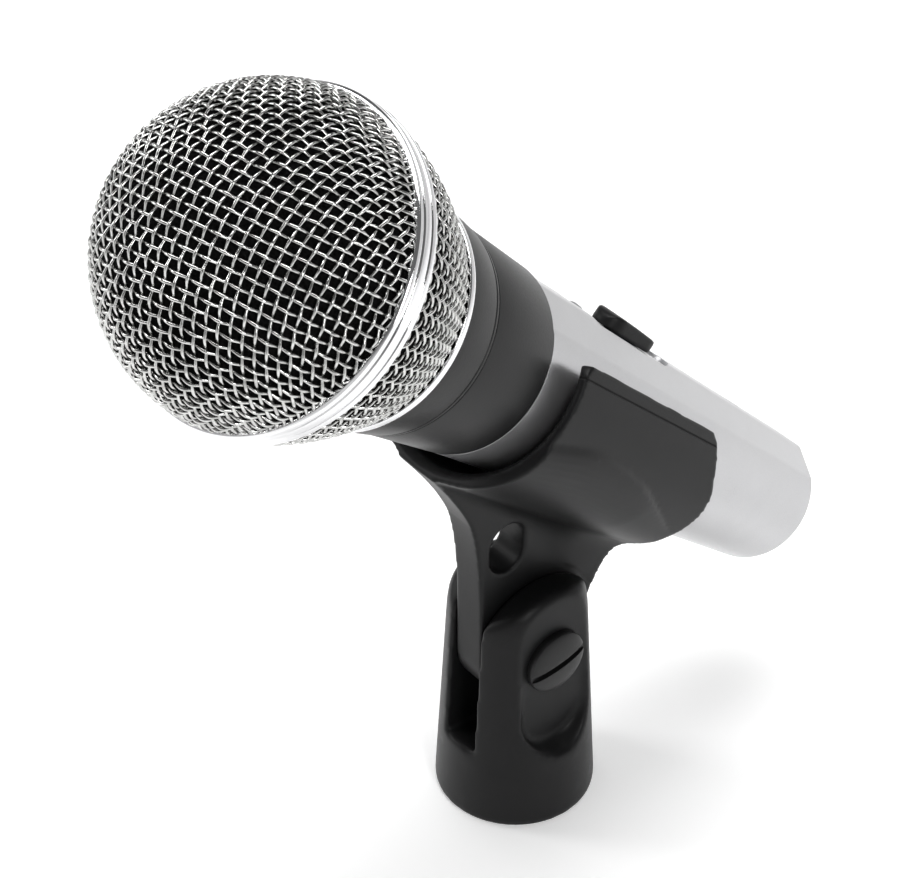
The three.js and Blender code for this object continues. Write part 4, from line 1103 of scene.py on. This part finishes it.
def stand_base():
    height = PIVOT.z / MM
    top = height + EAR_RADIUS
    cone = [(0, 0), (12.9, 0), (13.4, 0.5), (11.4, top - 7), (11.1, top - 4.5), (10.4, top - 2.4),
            (9.1, top - 0.9), (7.2, top + 0.5), (0, top + 0.8)]
    piece = turned("clip_base", rounded(cone, 0.5, 4), STAND, 128)
    outline = [(-15, 0), (15, 0), (15, height)] + arc((0, height), EAR_RADIUS, 0, 180, 40) + [(-15, height)]
    cut(piece, raised("ears", outline, -30, 30, STAND, SIDEWAYS), operation="INTERSECT")
    slot_half = ARM_THICKNESS / 2 + FORK_AIR
    outline = [(-30, FORK_FLOOR), (30, FORK_FLOOR), (30, 60), (-30, 60)]
    slot = raised("slot", outline, -slot_half, slot_half, STAND, SIDEWAYS)
    axle = STAND @ Matrix.Translation((0, 0, height))
    nut_hole = turned("nut_hole", [(0, -30), (4.96, -30), (4.96, -4.6), (0, -4.6)], axle, 6, ACROSS)
    bore = turned("bore", [(0, -1), (10.5, -1), (10.5, 11.5), (0, 11.5)], STAND, 96)
    cut(piece, slot, scoop("screw_pocket", 15.2, 6.9, 9, 15, 1), scoop("nut_pocket", 15.2, 6.9, 9, 15, -1),
        pivot_hole(axle), nut_hole, bore)
    fit(remeshed(piece, MOULDING_SKIN, 26), "base", "black_moulding", "stand_base")


def thread_insert():
    pitch = 25.4 / 27
    outline = [(10.2, 0.4), (10.2, 11.2)]
    crests = int(10.8 / pitch)
    thread = [(8.2, 0.4)]
    for i in range(crests):
        low = 0.7 + i * pitch
        thread += [(7.95, low), (7.45, low + pitch * 0.35)]
        thread += [(7.45, low + pitch * 0.6), (7.95, low + pitch * 0.95)]
    outline += [(7.6, 11.2)] + thread[::-1]
    piece = turned("stand_insert", outline, STAND, 96)
    fit(smooth_by_angle(piece), "base", "brass", "thread_insert")


def pivot_pieces():
    tilt = Matrix.Rotation(9 * DEGREE, 4, "X") @ ACROSS
    screw = slotted_screw("pivot_screw_piece", 5.6, 2.4, -8.5, 9.05, 2.05, 1.2, 1.0, ARM, tilt)
    fit(eased(screw, 0.12, 2, 30), "pivot_screw", "black_enamel", "pivot_screw")
    nut = turned("pivot_nut_piece", rounded([(2.7, -8.5), (4.6, -8.5), (4.6, -4.9), (2.7, -4.9)], 0.2, 2),
                 ARM, 6, ACROSS)
    fit(eased(nut, 0.15), "base", "steel", "pivot_nut")


# ---------------------------------------------------------------- hidden pieces keep their CAD shape
def paint_hidden_nodes():
    slots = {entry["node"]: entry["material_slot"] for entry in frame["record"]["subparts"]}
    for name, node in frame["nodes"].items():
        finish = FINISHES[slots[name]]
        if not node.material_slots:
            node.data.materials.append(finish)
        for material_slot in node.material_slots:
            material_slot.material = finish


# ---------------------------------------------------------------- stage, light and camera
def stage():
    size = 3.0
    floor = bpy.data.meshes.new("floor")
    corners = [(-size, -size, 0), (size, -size, 0), (size, size, 0), (-size, size, 0)]
    floor.from_pydata(corners, [], [(0, 1, 2, 3)])
    floor = new_object("floor", floor)
    paper = Finish("white_paper", roughness=0.9, specular_ior_level=0.1)
    fibres = paper.noise(6, detail=4)
    paper.set("base color", paper.between((0.93, 0.93, 0.93), (0.97, 0.97, 0.97), fibres))
    paper.set("emission color", (1, 1, 1, 1))
    paper.set("emission strength", 0.3)
    floor.data.materials.append(paper.material)


def softbox(name, place, aim, width, height, power):
    light = bpy.data.lights.new(name, "AREA")
    light.shape = "RECTANGLE"
    light.size = width
    light.size_y = height
    light.energy = power
    lamp = bpy.data.objects.new(name, light)
    lamp.location = place
    lamp.rotation_euler = (Vector(aim) - Vector(place)).to_track_quat("-Z", "Y").to_euler()
    bpy.context.scene.collection.objects.link(lamp)


def pale_walls():
    """A room whose walls are bright and whose ceiling is dim."""
    room = Surroundings("studio")
    direction = room.add("ShaderNodeTexCoord", output="Generated")
    height = room.add("ShaderNodeSeparateXYZ", {}, {"Vector": direction}, output="Z")
    room.set("color", (1, 1, 1, 1))
    room.set("strength", WALL_LIGHT - (WALL_LIGHT - CEILING_LIGHT) * room.ramp(height, 0.12, 0.55))
    bpy.context.scene.world = room.world


def lighting():
    pale_walls()
    middle = (0, 0, 0.08)
    softbox("overhead", (-0.15, 0.15, 0.95), middle, 0.7, 0.5, 6.5)
    softbox("front", (-0.75, -0.55, 0.55), middle, 0.25, 0.5, 3)
    softbox("side", (0.75, -0.25, 0.7), middle, 0.22, 0.35, 3)
    bpy.context.scene.view_settings.view_transform = "Standard"


def camera():
    data = bpy.data.cameras.new("camera")
    data.sensor_width = 36
    data.lens = 118.7
    eye = Vector((0.27056, -0.23584, 0.35747))
    aim = Vector((-0.01131, -0.00467, 0.06726))
    view = bpy.data.objects.new("camera", data)
    view.location = eye
    view.rotation_euler = (aim - eye).to_track_quat("-Z", "Y").to_euler()
    bpy.context.scene.collection.objects.link(view)
    bpy.context.scene.camera = view


camera()
lighting()
stage()
paint_hidden_nodes()
grille_meshes()
grille_band()
collar_ring()
foam_lining()
neck()
ring()
handle()
switch_plate()
small_screws()
switch_knob()
connector()
finished_clip()
stand_base()
thread_insert()
pivot_pieces()
